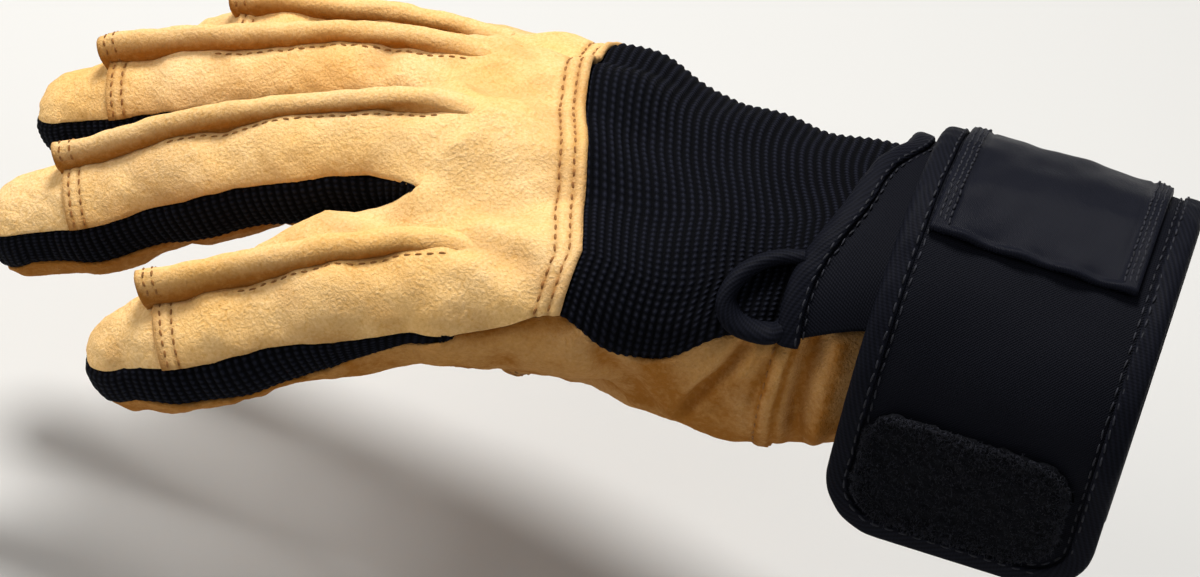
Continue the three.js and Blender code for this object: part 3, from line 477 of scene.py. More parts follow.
class Skin:
    """One skin of welded grids: points of the outer face, cloth coordinates, ray directions and fields."""

    def __init__(self):
        self.grids, self.rays, self.cloth, self.fields = [], [], [], {}

    def add(self, points, centre, cloth=None, **fields):
        """A grid of points, the inner line that they stand around, and named numbers for each point."""
        if cloth is None:
            cloth = lengths(points)
        self.grids.append(points)
        self.rays.append(points - np.broadcast_to(centre, points.shape))
        self.cloth.append(cloth)
        for name, value in fields.items():
            self.fields.setdefault(name, []).append(np.broadcast_to(value, points.shape[:2]))
        return self

    def weld(self):
        """Equal points become one. Faces follow the rays outwards, and normals are means of the faces'."""
        flat = np.concatenate([g.reshape(-1, 3) for g in self.grids])
        _, first, back = np.unique(np.round(flat * 400).astype(np.int64), axis=0,
                                   return_index=True, return_inverse=True)
        back = back.ravel()
        self.points = flat[first]
        self.uv = np.concatenate([c.reshape(-1, 2) for c in self.cloth])[first]
        self.field = {n: np.concatenate([v.ravel() for v in vs])[first] for n, vs in self.fields.items()}
        rays = np.concatenate([r.reshape(-1, 3) for r in self.rays])[first]
        self.index, quads, k = [], [], 0
        for g in self.grids:
            i = back[k:k + g.shape[0] * g.shape[1]].reshape(g.shape[:2])
            k += i.size
            self.index.append(i)
            quads.append(np.stack([i[:-1, :-1], i[1:, :-1], i[1:, 1:], i[:-1, 1:]], -1).reshape(-1, 4))
        self.quads = np.concatenate(quads)
        if (self.normals() * rays).sum() < 0:
            self.quads = self.quads[:, ::-1]
        return self

    def normals(self):
        """Unit normals at the points, weighted by the faces' areas."""
        p = self.points[self.quads]
        n = np.cross(p[:, 2] - p[:, 0], p[:, 3] - p[:, 1])
        out = np.zeros_like(self.points)
        for i in range(4):
            np.add.at(out, self.quads[:, i], n)
        return unit(out)

    def push(self, height):
        """Move the points along their normals."""
        self.points = self.points + self.normals() * np.asarray(height)[:, None]
        return self

    def line(self, grid, row=None, col=None):
        """Points and normals along one row or column of a grid, for thread."""
        i = self.index[grid][row] if row is not None else self.index[grid][:, col]
        keep = np.concatenate([[True], i[1:] != i[:-1]])
        return self.points[i[keep]], self.normals()[i[keep]]

    def lay(self, points):
        """Points moved along the normal of the nearest skin point until level with it, and those normals."""
        nearest = [((points[k:k + 20, None] - self.points[None]) ** 2).sum(-1).argmin(1)
                   for k in range(0, len(points), 20)]
        i = np.concatenate(nearest)
        n = self.normals()[i]
        return points + n * ((self.points[i] - points) * n).sum(-1)[:, None], n

    def contour(self, grid, field, value):
        """Points and normals where a field first passes a value, down each column of a grid."""
        i = self.index[grid]
        f = field[i] > value
        row = np.clip(np.argmax(f != f[:1], axis=0), 1, len(i) - 1)
        col = np.arange(i.shape[1])
        a, b = i[row - 1, col], i[row, col]
        rise = np.where(field[b] == field[a], 1, field[b] - field[a])
        t = np.clip((value - field[a]) / rise, 0, 1)[:, None]
        normal = self.normals()
        return mix(self.points[a], self.points[b], t), unit(mix(normal[a], normal[b], t))

    def wall(self, thick, rim=0.3):
        """Closed wall: the skin, its copy moved inwards, and a rounded strip along every open edge."""
        n, q = len(self.points), self.quads
        normal = self.normals()
        inner = self.points - normal * np.broadcast_to(thick, n)[:, None]
        e = np.concatenate([q[:, [0, 1]], q[:, [1, 2]], q[:, [2, 3]], q[:, [3, 0]]])
        e = e[e[:, 0] != e[:, 1]]
        key = np.sort(e, axis=1)
        key = key[:, 0] * np.int64(n) + key[:, 1]
        _, first, uses = np.unique(key, return_index=True, return_counts=True)
        open_edges = e[first[uses == 1]]
        ring = np.unique(open_edges)
        out = np.zeros_like(self.points)
        along = self.points[open_edges[:, 1]] - self.points[open_edges[:, 0]]
        for c in (0, 1):
            v = open_edges[:, c]
            np.add.at(out, v, np.cross(along, normal[v]))
        mid = (self.points[ring] + inner[ring]) / 2 + unit(out[ring]) * rim
        place = np.zeros(n, np.int64)
        place[ring] = 2 * n + np.arange(len(ring))
        a, b = open_edges.T
        strip = [np.stack([b, a, place[a], place[b]], -1), np.stack([place[b], place[a], a + n, b + n], -1)]
        faces = np.concatenate([q, q[:, ::-1] + n, *strip])
        points = np.concatenate([self.points, inner, mid])
        uv = np.concatenate([self.uv, self.uv, self.uv[ring]])
        field = {k: np.concatenate([v, v, v[ring]]) for k, v in self.field.items()}
        return points, faces, uv, field


def lengths(grid):
    """Cloth coordinates of a grid in millimetres: mean length along its rows and along its columns."""
    across = np.linalg.norm(np.diff(grid, axis=1), axis=-1)
    along = np.linalg.norm(np.diff(grid, axis=0), axis=-1)
    u = np.concatenate([[0], np.cumsum(across.mean(0))])
    v = np.concatenate([[0], np.cumsum(along.mean(1))])
    return np.stack(np.broadcast_arrays(u[None], v[:, None]), -1)


def add_object(name, data):
    """A new object in the scene."""
    obj = bpy.data.objects.new(name, data)
    bpy.context.scene.collection.objects.link(obj)
    return obj


def make_piece(name, points, faces, material, replaces=(), uv=None, field=None):
    """A mesh object in metres at the origin, that rides on the root and stands for its CAD nodes."""
    faces = np.asarray(faces, np.int64)
    if faces.shape[1] == 4:
        same = faces == np.roll(faces, -1, axis=1)
        quads = faces[~same.any(1)]
        bent = faces[same.sum(1) == 1]
        drop = same[same.sum(1) == 1].argmax(1)
        tris = bent[np.arange(4)[None] != drop[:, None]].reshape(-1, 3)
    else:
        quads, tris = np.zeros((0, 4), np.int64), faces
    used = np.unique(np.concatenate([quads.ravel(), tris.ravel()]))
    new = np.zeros(len(points), np.int64)
    new[used] = np.arange(len(used))
    corners = np.concatenate([new[quads].ravel(), new[tris].ravel()])
    total = np.concatenate([np.full(len(quads), 4), np.full(len(tris), 3)])
    mesh = bpy.data.meshes.new(name)
    mesh.vertices.add(len(used))
    mesh.vertices.foreach_set("co", (np.asarray(points)[used] * MM).astype(np.float32).ravel())
    mesh.loops.add(len(corners))
    mesh.loops.foreach_set("vertex_index", corners.astype(np.int32))
    mesh.polygons.add(len(total))
    mesh.polygons.foreach_set("loop_start", (np.cumsum(total) - total).astype(np.int32))
    mesh.polygons.foreach_set("loop_total", total.astype(np.int32))
    mesh.update(calc_edges=True)
    mesh.polygons.foreach_set("use_smooth", np.ones(len(total), bool))
    if uv is not None:
        layer = mesh.uv_layers.new(name="cloth")
        layer.data.foreach_set("uv", np.asarray(uv)[used][corners].astype(np.float32).ravel())
    for key, value in (field or {}).items():
        mesh.attributes.new(key, "FLOAT", "POINT").data.foreach_set("value", value[used].astype(np.float32))
    mesh.validate()
    mesh.update()
    mesh.materials.append(material)
    obj = add_object(name, mesh)
    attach(obj, "root")
    if replaces:
        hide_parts(*replaces)
    return obj


def make_wall(name, skin, thick, material, replaces=(), rim=0.3):
    """A skin given its thickness and made a piece."""
    points, faces, uv, field = skin.wall(thick, rim)
    return make_piece(name, points, faces, material, replaces, uv, field)


def sew(name, skin, thick, kind, node, rim, flat):
    """A sewn piece: the skin made a wall with its kind's finish, in place of its CAD node.
    Its blank's sides in millimetres, flat, are not used. A sewn piece, declared as a stretched sheet: its
    blank's sides in millimetres, and its cut area, which is the area of its outer face."""
    obj = make_wall(name, skin, thick, finish(kind), [node], rim)
    flat = (flat[0] * MM, flat[1] * MM)


def sweep(rings, closed=False):
    """Faces of a tube through equal rings, with both ends filled by fans unless it is closed."""
    n, m = rings.shape[:2]
    i = np.arange(n * m).reshape(n, m)
    if closed:
        i = np.vstack([i, i[:1]])
    j = np.roll(i, -1, axis=1)
    faces = np.stack([i[:-1], j[:-1], j[1:], i[1:]], -1).reshape(-1, 4)
    points = rings.reshape(-1, 3)
    if not closed:
        ends = np.stack([rings[0].mean(0), rings[-1].mean(0)])
        points = np.concatenate([points, ends])
        a = np.stack([j[0], i[0], np.full(m, n * m), np.full(m, n * m)], -1)
        b = np.stack([i[-1], j[-1], np.full(m, n * m + 1), np.full(m, n * m + 1)], -1)
        faces = np.concatenate([faces, a, b])
    p = points[faces]
    size = (p[:, 0] * np.cross(p[:, 1], p[:, 2])).sum() + (p[:, 0] * np.cross(p[:, 2], p[:, 3])).sum()
    return points, faces if size > 0 else faces[:, ::-1]


def rounded(profile, count):
    """A closed profile made smooth and evenly spaced, by a periodic cubic through its points."""
    p = np.array(profile, float)
    wrap = np.concatenate([p[-3:], p, p[:4]])
    arc = arc_of(wrap)
    at = np.linspace(arc[3], arc[3 + len(p)], count, endpoint=False)
    return spline_weights(arc, at) @ wrap


# Stitches made so far, by group, as points and faces
THREAD = {}
# Places along half of a stitch, its thickness there, its rise over its ends, and how far it may lie askew
STITCH_PLACES = [-1, -0.82, -0.35, 0.35, 0.82, 1]
STITCH_THICKNESS = [0, 0.7, 1, 1, 0.7, 0]
STITCH_RISE = 0.55
STITCH_WOBBLE = 0.07


def stitch(group, points, normals, pitch=2.5, length=1.8, radius=0.28, sink=0.12, start=0.5):
    """Stitches along a line: each is a small spindle that lies along the line and dives in at both ends."""
    arc = arc_of(points)
    at = np.arange(start * pitch, arc[-1] - length / 2, pitch)
    if len(at) == 0:
        return
    p = taken(at, arc, points)
    n = unit(taken(at, arc, normals))
    t = unit(taken(at + 0.3, arc, points) - taken(at - 0.3, arc, points))
    n = unit(n - t * (n * t).sum(-1)[:, None])
    s = np.cross(t, n)
    along, thick = np.array(STITCH_PLACES), np.array(STITCH_THICKNESS)
    rise = STITCH_RISE * (1 - along ** 2)
    a = np.arange(6) * np.pi / 3
    wobble = np.random.default_rng(len(at)).uniform(-STITCH_WOBBLE, STITCH_WOBBLE, (len(at), 1, 1, 1))
    shape = (t[:, None, None] * (along * length / 2)[None, :, None, None]
             + n[:, None, None] * ((rise * radius)[None, :, None, None] - sink
                                   + (radius * thick[:, None] * np.cos(a))[None, ..., None])
             + s[:, None, None] * ((radius * thick[:, None] * np.sin(a))[None, ..., None]
                                   + wobble + along[None, :, None, None] * wobble * 2))
    verts = (p[:, None, None] + shape).reshape(-1, 3)
    k, m = len(at), len(along)
    i = np.arange(k * m * 6).reshape(k, m, 6)
    j = np.roll(i, -1, axis=2)
    f = np.stack([i[:, :-1], i[:, 1:], j[:, 1:], j[:, :-1]], -1).reshape(-1, 4)
    THREAD.setdefault(group, []).append((verts, f))


def thread_piece(name, group, material):
    """All the stitches of a group as one piece."""
    base, points, faces = 0, [], []
    for p, f in THREAD[group]:
        points.append(p)
        faces.append(f + base)
        base += len(p)
    points, faces = np.concatenate(points), np.concatenate(faces)
    _, first, back = np.unique(np.round(points * 2000).astype(np.int64), axis=0,
                               return_index=True, return_inverse=True)
    return make_piece(name, points[first], back.ravel()[faces][:, ::-1], material)


# Materials

class Finish:
    """A node material with one principled shader, and short calls that add nodes to it."""

    def __init__(self, name):
        self.material = bpy.data.materials.new(name)
        self.material.use_nodes = True
        self.tree = self.material.node_tree
        self.shader = self.tree.nodes["Principled BSDF"]

    def node(self, kind, inputs=None, **settings):
        """A new node with its settings, and values or links for its inputs."""
        n = self.tree.nodes.new(kind)
        for key, value in settings.items():
            setattr(n, key, value)
        for key, value in (inputs or {}).items():
            self.put(n.inputs[key], value)
        return n

    def put(self, socket, value):
        """Link a socket, or give it a plain value."""
        if isinstance(value, bpy.types.NodeSocket):
            self.tree.links.new(value, socket)
        else:
            socket.default_value = value

    def set(self, **values):
        """Inputs of the shader, by their names."""
        for key, value in values.items():
            self.put(self.shader.inputs[key.replace("_", " ")], value)

    def math(self, operation, *values, clamp=False):
        """One step of arithmetic."""
        return self.node("ShaderNodeMath", dict(enumerate(values)), operation=operation,
                         use_clamp=clamp).outputs[0]

    def noise(self, scale, detail=3.0, rough=0.55, distort=0.0):
        """Cloudy noise on the object's own coordinates."""
        n = self.node("ShaderNodeTexNoise", {"Vector": self.object_place(), "Scale": scale, "Detail": detail,
                                             "Roughness": rough, "Distortion": distort})
        return n.outputs[0]

    def object_place(self):
        """Object coordinates."""
        return self.node("ShaderNodeTexCoord").outputs["Object"]

    def cloth(self):
        """The two cloth coordinates, in millimetres."""
        n = self.node("ShaderNodeUVMap", uv_map="cloth")
        split = self.node("ShaderNodeSeparateXYZ", {0: n.outputs[0]})
        return split.outputs[0], split.outputs[1]

    def field(self, name):
        """A number that the mesh holds for each point."""
        return self.node("ShaderNodeAttribute", attribute_name=name).outputs["Fac"]

    def mix(self, factor, a, b, blend_type="MIX"):
        """Two colours mixed."""
        n = self.node("ShaderNodeMix", data_type="RGBA", blend_type=blend_type)
        self.put(n.inputs[0], factor)
        self.put(n.inputs[6], a)
        self.put(n.inputs[7], b)
        return n.outputs[2]

    def ramp(self, factor, *stops):
        """Colours by a number, through stops of a place and a colour."""
        n = self.node("ShaderNodeValToRGB", {0: factor})
        while len(n.color_ramp.elements) < len(stops):
            n.color_ramp.elements.new(0.5)
        for e, (place, colour) in zip(n.color_ramp.elements, stops):
            e.position, e.color = place, colour
        return n.outputs[0]

    def bump(self, height, distance, strength=1.0):
        """Normals bent by a height, in metres."""
        n = self.node("ShaderNodeBump", {"Height": height, "Distance": distance, "Strength": strength})
        return n.outputs[0]


def tone(colour, k=1.0):
    """Colour scaled, with full opacity."""
    return (colour[0] * k, colour[1] * k, colour[2] * k, 1.0)


# Suede from the hollows of its nap to its tips: place on the ramp, shares of its red, green and blue
SUEDE_RAMP = [(0.2, (0.55, 0.43, 0.3)), (0.45, (0.9, 0.83, 0.7)), (0.62, (1, 1, 1)),
              (0.85, (1.12, 1.2, 1.42))]


def suede_finish(name, colour, deep):
    """Napped suede: patches of brushed nap, fine fibre grain, and painted shade, a mix towards a dark ochre
    by the mesh's shade field.
    """
    m = Finish(name)
    patch = m.noise(38.0, 4.0, 0.6)
    nap = m.noise(700.0, 4.0, 0.65, distort=0.2)
    grain = m.noise(1700.0, 3.0, 0.7)
    pit = m.node("ShaderNodeTexVoronoi", {"Vector": m.object_place(), "Scale": 1300.0}).outputs["Distance"]
    height = m.math("ADD", m.math("MULTIPLY", nap, 0.36), m.math("MULTIPLY", grain, 0.64))
    height = m.math("SUBTRACT", height, m.math("MULTIPLY", pit, 0.22))
    level = m.math("ADD", m.math("MULTIPLY", patch, 0.5), m.math("MULTIPLY", height, 1.15))
    body = m.ramp(level, *((place, tuple(np.minimum(1, np.multiply(colour, k))) + (1,))
                           for place, k in SUEDE_RAMP))
    warm = m.math("MULTIPLY_ADD", m.noise(26.0, 3.0, 0.55), 3.2, -1.3, clamp=True)
    body = m.mix(warm, body, (1.0, 0.88, 0.62, 1.0), "MULTIPLY")
    # Painted shade: the shade field, stronger where the nap stands high, mixes the colour towards the dark
    # ochre
    shade = m.math("MULTIPLY", m.field("shade"), m.math("MULTIPLY_ADD", nap, 0.7, 0.65), clamp=True)
    m.set(Base_Color=m.mix(shade, body, tone(deep)), Roughness=0.96,
          Normal=m.bump(height, 0.0006, 0.95))
    m.set(Sheen_Weight=0.035, Sheen_Roughness=0.55, Sheen_Tint=(1.0, 0.66, 0.3, 1.0))
    m.set(Specular_IOR_Level=0.08)
    return m.material


def knit_finish(name, dark, light, rib, course):
    """Waffle knit: ribs along one cloth direction broken by courses along the other, with fibre fuzz."""
    m = Finish(name)
    u, v = m.cloth()
    ribs = m.math("SINE", m.math("MULTIPLY", v, 2 * np.pi / rib))
    loops = m.math("SINE", m.math("ADD", m.math("MULTIPLY", u, 2 * np.pi / course),
                                  m.math("MULTIPLY", m.noise(120.0, 2.0), 1.6)))
    cell = m.math("MULTIPLY_ADD", ribs, 0.5, 0.5)
    knot = m.math("MULTIPLY_ADD", loops, 0.5, 0.5)
    fibre = m.noise(1800.0, 4.0, 0.65)
    height = m.math("ADD", m.math("MULTIPLY", m.math("MULTIPLY", cell, m.math("ADD", knot, 0.45)), 0.7),
                    m.math("MULTIPLY", fibre, 0.3))
    # Painted highlight and shade: rib and loop tops lighter, up to well past the lit black, and the grooves
    # between them darker
    body = m.ramp(height, (0.15, tone(dark, 0.5)), (0.5, tone(mix(np.array(dark), np.array(light), 0.4))),
                  (1.0, tone(light, 1.7)))
    wear = m.noise(60.0, 3.0)
    m.set(Base_Color=m.mix(m.math("MULTIPLY", wear, 0.2), body, tone(light, 0.8)), Roughness=0.88,
          Normal=m.bump(height, 0.0005, 0.9))
    m.set(Specular_IOR_Level=0.05)
    return m.material


def twill_finish(name, dark, light, pitch, slant=1.0, gloss=0.62, relief=0.00018):
    """Woven cloth: fine slanting lines across the cloth, crossed by finer ones, with soft mottling."""
    m = Finish(name)
    u, v = m.cloth()
    slope = m.math("ADD", m.math("MULTIPLY", u, slant), v)
    lines = m.math("SINE", m.math("MULTIPLY", slope, 2 * np.pi / pitch))
    cross = m.math("SINE", m.math("MULTIPLY", u, 2 * np.pi / (pitch * 0.71)))
    fibre = m.noise(2400.0, 3.0, 0.6)
    height = m.math("ADD", m.math("MULTIPLY", lines, 0.22), m.math("MULTIPLY", cross, 0.1))
    height = m.math("ADD", m.math("ADD", height, 0.35), m.math("MULTIPLY", fibre, 0.35))
    body = m.ramp(height, (0.1, tone(dark)), (0.9, tone(light)))
    fade = m.math("MULTIPLY", m.noise(30.0, 3.0), 0.5)
    m.set(Base_Color=m.mix(fade, body, tone(light, 0.85)), Roughness=gloss,
          Normal=m.bump(height, relief, 0.9))
    m.set(Specular_IOR_Level=0.04)
    return m.material


def thread_finish(name, dark, light):
    """Twisted sewing thread."""
    m = Finish(name)
    twist = m.noise(1500.0, 3.0, 0.6)
    m.set(Base_Color=m.ramp(twist, (0.3, tone(dark)), (0.7, tone(light))), Roughness=0.7,
          Normal=m.bump(twist, 0.0001, 0.8))
    m.set(Specular_IOR_Level=0.35)
    return m.material


def pile_finish(name, dark, light):
    """Looped pile: a mat of crossing fibres."""
    m = Finish(name)
    hair = m.noise(900.0, 6.0, 0.75, distort=1.4)
    clump = m.noise(220.0, 3.0, 0.6)
    height = m.math("ADD", m.math("MULTIPLY", hair, 0.7), m.math("MULTIPLY", clump, 0.4))
    m.set(Base_Color=m.ramp(height, (0.35, tone(dark)), (0.75, tone(light))), Roughness=0.95,
          Normal=m.bump(height, 0.0012, 1.0))
    m.set(Sheen_Weight=0.03, Sheen_Roughness=0.6, Sheen_Tint=(0.8, 0.85, 1.0, 1.0))
    m.set(Specular_IOR_Level=0.05)
    return m.material


def plain_finish(name, colour, rough=0.9):
    """Plain matt surface with a faint mottle."""
    m = Finish(name)
    mottle = m.noise(3.0, 2.0)
    m.set(Base_Color=m.ramp(mottle, (0.0, tone(colour, 0.985)), (1.0, tone(colour))), Roughness=rough)
    return m.material


# Finishes made so far, by kind
FINISH = {}


def finish(kind):
    """The named finish, made once from the panel's colours."""
    look = bpy.context.scene.glove_look
    if kind not in FINISH:
        # ochre is the colour of the painted shade on the suede
        suede, ochre, black = tuple(look.suede), tuple(look.crease), tuple(look.black)
        sheen = tuple(look.black_light)
        made = {
            "suede": lambda: suede_finish("suede", suede, ochre),
            "knit_back": lambda: knit_finish("knit_back", black, sheen, look.rib_pitch * 1000, 1.15),
            "knit_side": lambda: knit_finish("knit_side", black, sheen, look.side_rib_pitch * 1000, 1.05),
            "twill": lambda: twill_finish("strap_twill", black, sheen, 0.62),
            "tape": lambda: twill_finish("tape", black, tone(sheen, 1.2), 0.9, 0.35, 0.6, 0.00014),
            "satin": lambda: twill_finish("label_satin", tone(black, 1.5), tone(sheen, 1.5), 0.42, -0.8,
                                          0.36, 0.0001),
            "pile": lambda: pile_finish("pile", tone(black, 0.4), tone(sheen, 0.6)),
            "hair": lambda: thread_finish("pile_hair", tone(black, 1.5), tone(sheen, 3.5)),
            "ochre_thread": lambda: thread_finish("ochre_thread", (0.16, 0.06, 0.012), (0.42, 0.19, 0.045)),
            "black_thread": lambda: thread_finish("black_thread", tone(black, 1.6), tone(sheen, 2.4)),
            "floor": lambda: plain_finish("floor", tuple(look.floor)),
        }
        FINISH[kind] = made[kind]()
    return FINISH[kind]


# Pieces of leather and knit

# Row to row along the leather
STEP = 0.8
# Hand strips give way to rows round each finger over this many control rows
SKIP = 6
# Finished skins that the stitches of a later piece are laid on
LAID = {}
# Thickness of each cloth
LEATHER_WALL = 1.4
PALM_WALL = 1.3
CAP_WALL = 1.2
KNIT_WALL = 1.2
KNIT_BACK_WALL = 1.3


def hand_x(first, last, step):
    """Rows over the hand between two x of the index finger's side."""
    return np.linspace(first, last, max(3, int(abs(last - first) / step)) + 1)


# Every row of folds: points, half width, depth (positive is a valley), shoulder beside it
BACK_FOLDS = [
    ([[-134, -37, 9], [-128, -38.5, 11], [-122, -40.4, 10.8], [-115, -42.8, 9.8]], 3.4, 1.3, 0.6),
    ([[-138, -29, 8], [-131, -29, 11.5], [-124, -30, 14.5]], 3.0, 0.7, 0.4),
    ([[-121, -20, 17], [-126, -12, 18], [-128, -3, 18]], 4.5, 0.7, 0.3),
    ([[-120, 4, 18], [-126, 10, 17.5], [-131, 18, 14]], 4.0, 0.6, 0.3),
    ([[-166, -12, 11], [-164, -6, 11], [-162, 0, 8]], 2.4, 0.5, 0.3),
    ([[-160, -45, -1], [-158, -38, 0], [-157, -31, -3]], 2.2, 0.45, 0.3),
    ([[-168, 8, 9], [-166, 15, 9.5], [-165, 22, 5]], 2.4, 0.5, 0.3),
]


def fold_height(p, folds):
    """Sum over folds: a bell-shaped valley along a line, with a low shoulder on both sides."""
    out = np.zeros(len(p))
    for points, half, depth, shoulder in folds:
        d = near(p, polyline(points))
        out += shoulder * bell(d, 2 * half, half) - depth * bell(d, 0, half)
    return out


def fold_shade(p, folds):
    """Painted shade along the bottom of each fold, darker with the fold's depth."""
    out = np.zeros(len(p))
    for points, half, depth, _ in folds:
        out += 0.35 * min(1.0, abs(depth)) * bell(near(p, polyline(points)), 0, half * 0.8)
    return out


def back_edges(x, xs):
    """Angles of the back's two outer edges, and how far the creases reach ahead."""
    low = side_edge(THUMB_SIDE_EDGE, xs[:, 0], 1) + HALF
    high = side_edge(LITTLE_SIDE_EDGE, xs[:, 3], 1) - HALF
    q = np.interp(-x, -np.array(KNUCKLE_ROWS), np.linspace(0, 1, len(KNUCKLE_ROWS)))
    return low, high, q * q


# The hem's corner on the little finger's side lies this far nearer the wrist, less and less over this length
HEM_SKEW = 6.5
HEM_SKEW_FADE = 18
# How far the tongue laps over the cap, and its stitch rows from the two edges
SEAM_LAP = 1.2
HEM_ROWS = (2.5, 5.4)
SEAM_ROWS = (1.2, 3.4)
# Over the distance from the edge: place, half width, and height, or in the shade rows the darkness of
# painted shade in the stitch grooves and along the edge
HEM_RELIEF = [(1.0, 1.5, 1.25), (4.0, 1.2, 0.45), (2.5, 0.55, -0.34), (5.4, 0.55, -0.34)]
HEM_SHADE = [(2.5, 0.6, 0.55), (5.4, 0.6, 0.55), (0, 0.9, 0.5)]
SEAM_RELIEF = [(0, 3.0, 0.75), (1.2, 0.45, -0.3), (3.4, 0.45, -0.3)]
SEAM_SHADE = [(1.2, 0.5, 0.5), (3.4, 0.5, 0.5), (0, 0.6, 0.5)]


def held(point, count):
    """Rows that all hold one point."""
    return np.repeat(point[None], count, 0)


def fork_bridge(strip, rows, count):
    """Rows from a hand strip to the rows round its finger: a spline through three spaced rows of each."""
    before = np.stack([strip[-1 - 2 * SKIP], strip[-1 - SKIP], strip[-1]])
    return bridge(before, np.stack([rows[0], rows[SKIP], rows[2 * SKIP]]), count)


def build_leather_back():
    """Knuckle panel and four finger tongues: hand strips from the hem to the web, a spline bridge to the
    fork, then rows around each finger to the cap seam. Its relief is swells, a rolled hem, grooves under the
    stitches and folds, each a sum of waves or bells."""
    cols = 38
    x = hand_x(KNUCKLE_ROWS[0], KNUCKLE_ROWS[-1], STEP)
    xs = across_hand(x)
    low, high, ahead = back_edges(x, xs)
    skew = HEM_SKEW * np.clip(1 - (x[0] - x) / HEM_SKEW_FADE, 0, 1)[:, None] ** 2
    strips = hand_strips(x, 1, cols, 0, low, high, ahead, skew)
    skin = Skin()
    for k, f in enumerate(ORDER):
        sp = SPINES[f]
        fork, seam = sp.where_x(STATIONS[f]["fork"]), sp.where_x(STATIONS[f]["seam"]) + SEAM_LAP
        s = np.linspace(fork, seam, int((seam - fork) / STEP) + 1)
        rows = finger_rows(f, s, -edges_of(f, -1, s)[0] + HALF, edges_of(f, 1, s)[0] - HALF, cols, 0)
        join = fork_bridge(strips[k], rows, 16)
        grid = np.concatenate([strips[k], join, rows])
        v = np.linalg.norm(np.diff(grid, axis=0), axis=-1)
        v = np.concatenate([np.zeros((1, cols + 1)), np.cumsum(v, axis=0)])
        centre = np.concatenate([hand_origin(f, xs[:, k]), held(sp.at(fork), len(join)), sp.at(s)])
        free = np.concatenate([np.zeros(len(strips[k])), np.linspace(0, 1, len(join)), np.ones(len(rows))])
        # Share of the way onto the sides of a finger tongue, where painted shade darkens them
        flank = np.clip((np.abs(np.linspace(-1, 1, cols + 1)) - 0.62) / 0.38, 0, 1)
        skin.add(grid, centre[:, None], hem=v, seam=v[-1:] - v, flank=free[:, None] * flank[None])
    skin.weld()
    p, hem, seam = skin.points, skin.field["hem"], skin.field["seam"]
    lift = swell(p, (0.45, 17, 3), (0.16, 6, 4), (0.07, 2.6, 5)) * np.clip(seam / 8, 0.25, 1)
    folds = fold_height(p, BACK_FOLDS) * np.clip((hem - 4) / 7, 0, 1)
    skin.push(lift + relief(hem, HEM_RELIEF) + relief(seam, SEAM_RELIEF) + folds)
    # Painted shade: darker in the stitch grooves, along the hem and seam edges, in the folds and on the
    # tongues' sides; the clipped swells are the suede's own uneven tone
    shade = relief(hem, HEM_SHADE) + relief(seam, SEAM_SHADE) + fold_shade(p, BACK_FOLDS)
    shade = shade + np.clip(swell(p, (0.16, 26, 9), (0.1, 9, 10)), 0, 1) + 0.4 * skin.field["flank"] ** 1.6
    skin.field = {"shade": np.clip(shade, 0, 1)}
    LAID["back"] = skin
    sew("suede_back", skin, LEATHER_WALL, "suede", "leather_back", 0.35, (118, 150))
    for mm in HEM_ROWS:
        runs = [skin.contour(k, hem, mm) for k in range(4)]
        stitch("hem", np.concatenate([r[0][:-1] for r in runs]), np.concatenate([r[1][:-1] for r in runs]),
               pitch=2.7, length=1.75)
    for k in range(4):
        for mm in SEAM_ROWS:
            stitch("caps", *skin.contour(k, seam, mm), pitch=2.15, length=1.5, radius=0.25)


# How far a cap starts under the tongue, its rows to the tip, its height under the leather, and its tuck
CAP_UNDER = 5
TIP_ROWS = 20
CAP_LEVEL = -0.35
CAP_TUCK = 1.15


def build_caps():
    """Fingertip caps: rows around the finger from under the tongue to the tip, then the rounded end."""
    cols = 44
    for f in ORDER:
        sp = SPINES[f]
        seam = sp.where_x(STATIONS[f]["seam"])
        s = np.linspace(seam - CAP_UNDER, sp.length, int((sp.length - seam + CAP_UNDER) / 0.7) + 1)
        low, high = -edges_of(f, -1, s)[0] + HALF, edges_of(f, 1, s)[0] - HALF
        rows = finger_rows(f, s, low, high, cols, CAP_LEVEL)
        grid = np.concatenate([rows, tip_rows(f, TIP_ROWS, cols, 0, CAP_LEVEL)])
        under = np.concatenate([seam - s, np.full(TIP_ROWS, seam - sp.length)])
        skin = Skin().add(grid, sp.at(sp.length), under=under[:, None]).weld()
        p, under = skin.points, skin.field["under"]
        lift = swell(p, (0.3, 13, 21 + len(f)), (0.12, 5, 22), (0.06, 2.4, 23))
        tuck = -CAP_TUCK * np.clip((under + 0.6) / 1.6, 0, 1)
        skin.push(lift * np.clip(-under / 4, 0, 1) + tuck)
        # Painted shade: darker along the tongue's edge where it laps over the cap; the clipped swells are
        # the suede's own uneven tone
        shade = 0.35 * bell(under, -1.0, 1.2) + np.clip(swell(p, (0.14, 20, 24), (0.1, 8, 25)), 0, 1)
        skin.field = {"shade": np.clip(shade, 0, 1)}
        sew("suede_cap_" + f, skin, CAP_WALL, "suede", "cap_" + f, 0.3, (30, 42))


# x where the ridge fades out, height at the cap end, height near the hand end
RIDGES = {"index": [-129, 7.4, 2.4], "middle": [-141, 6, 2], "ring": [-144, 6.3, 2],
          "little": [-146, 5.4, 2]}
# How far a ridge starts ahead of the cap seam, its last part that sinks flat, and its stitch rows
RIDGE_OVERHANG = 3
RIDGE_SINK = 0.24
RIDGE_ROWS = (1.6, 3.7)
# x where the finger's own form has become the whole hand's, and over what length
HAND_STARTS = -148
HAND_JOIN = 14
# Share of the ridge over which its foot is stitched down
FOOT_STITCHES = (0.3, 0.93)
# Cross-section: share of the width, share of the height
RIDGE_PROFILE = [[-0.3, -0.35], [-0.3, -0.04], [-0.4, 0.18], [-0.43, 0.48], [-0.33, 0.78], [-0.1, 0.97],
                 [0.16, 0.98], [0.42, 0.83], [0.66, 0.52], [0.86, 0.22], [1.1, 0.0], [1.1, -0.35]]


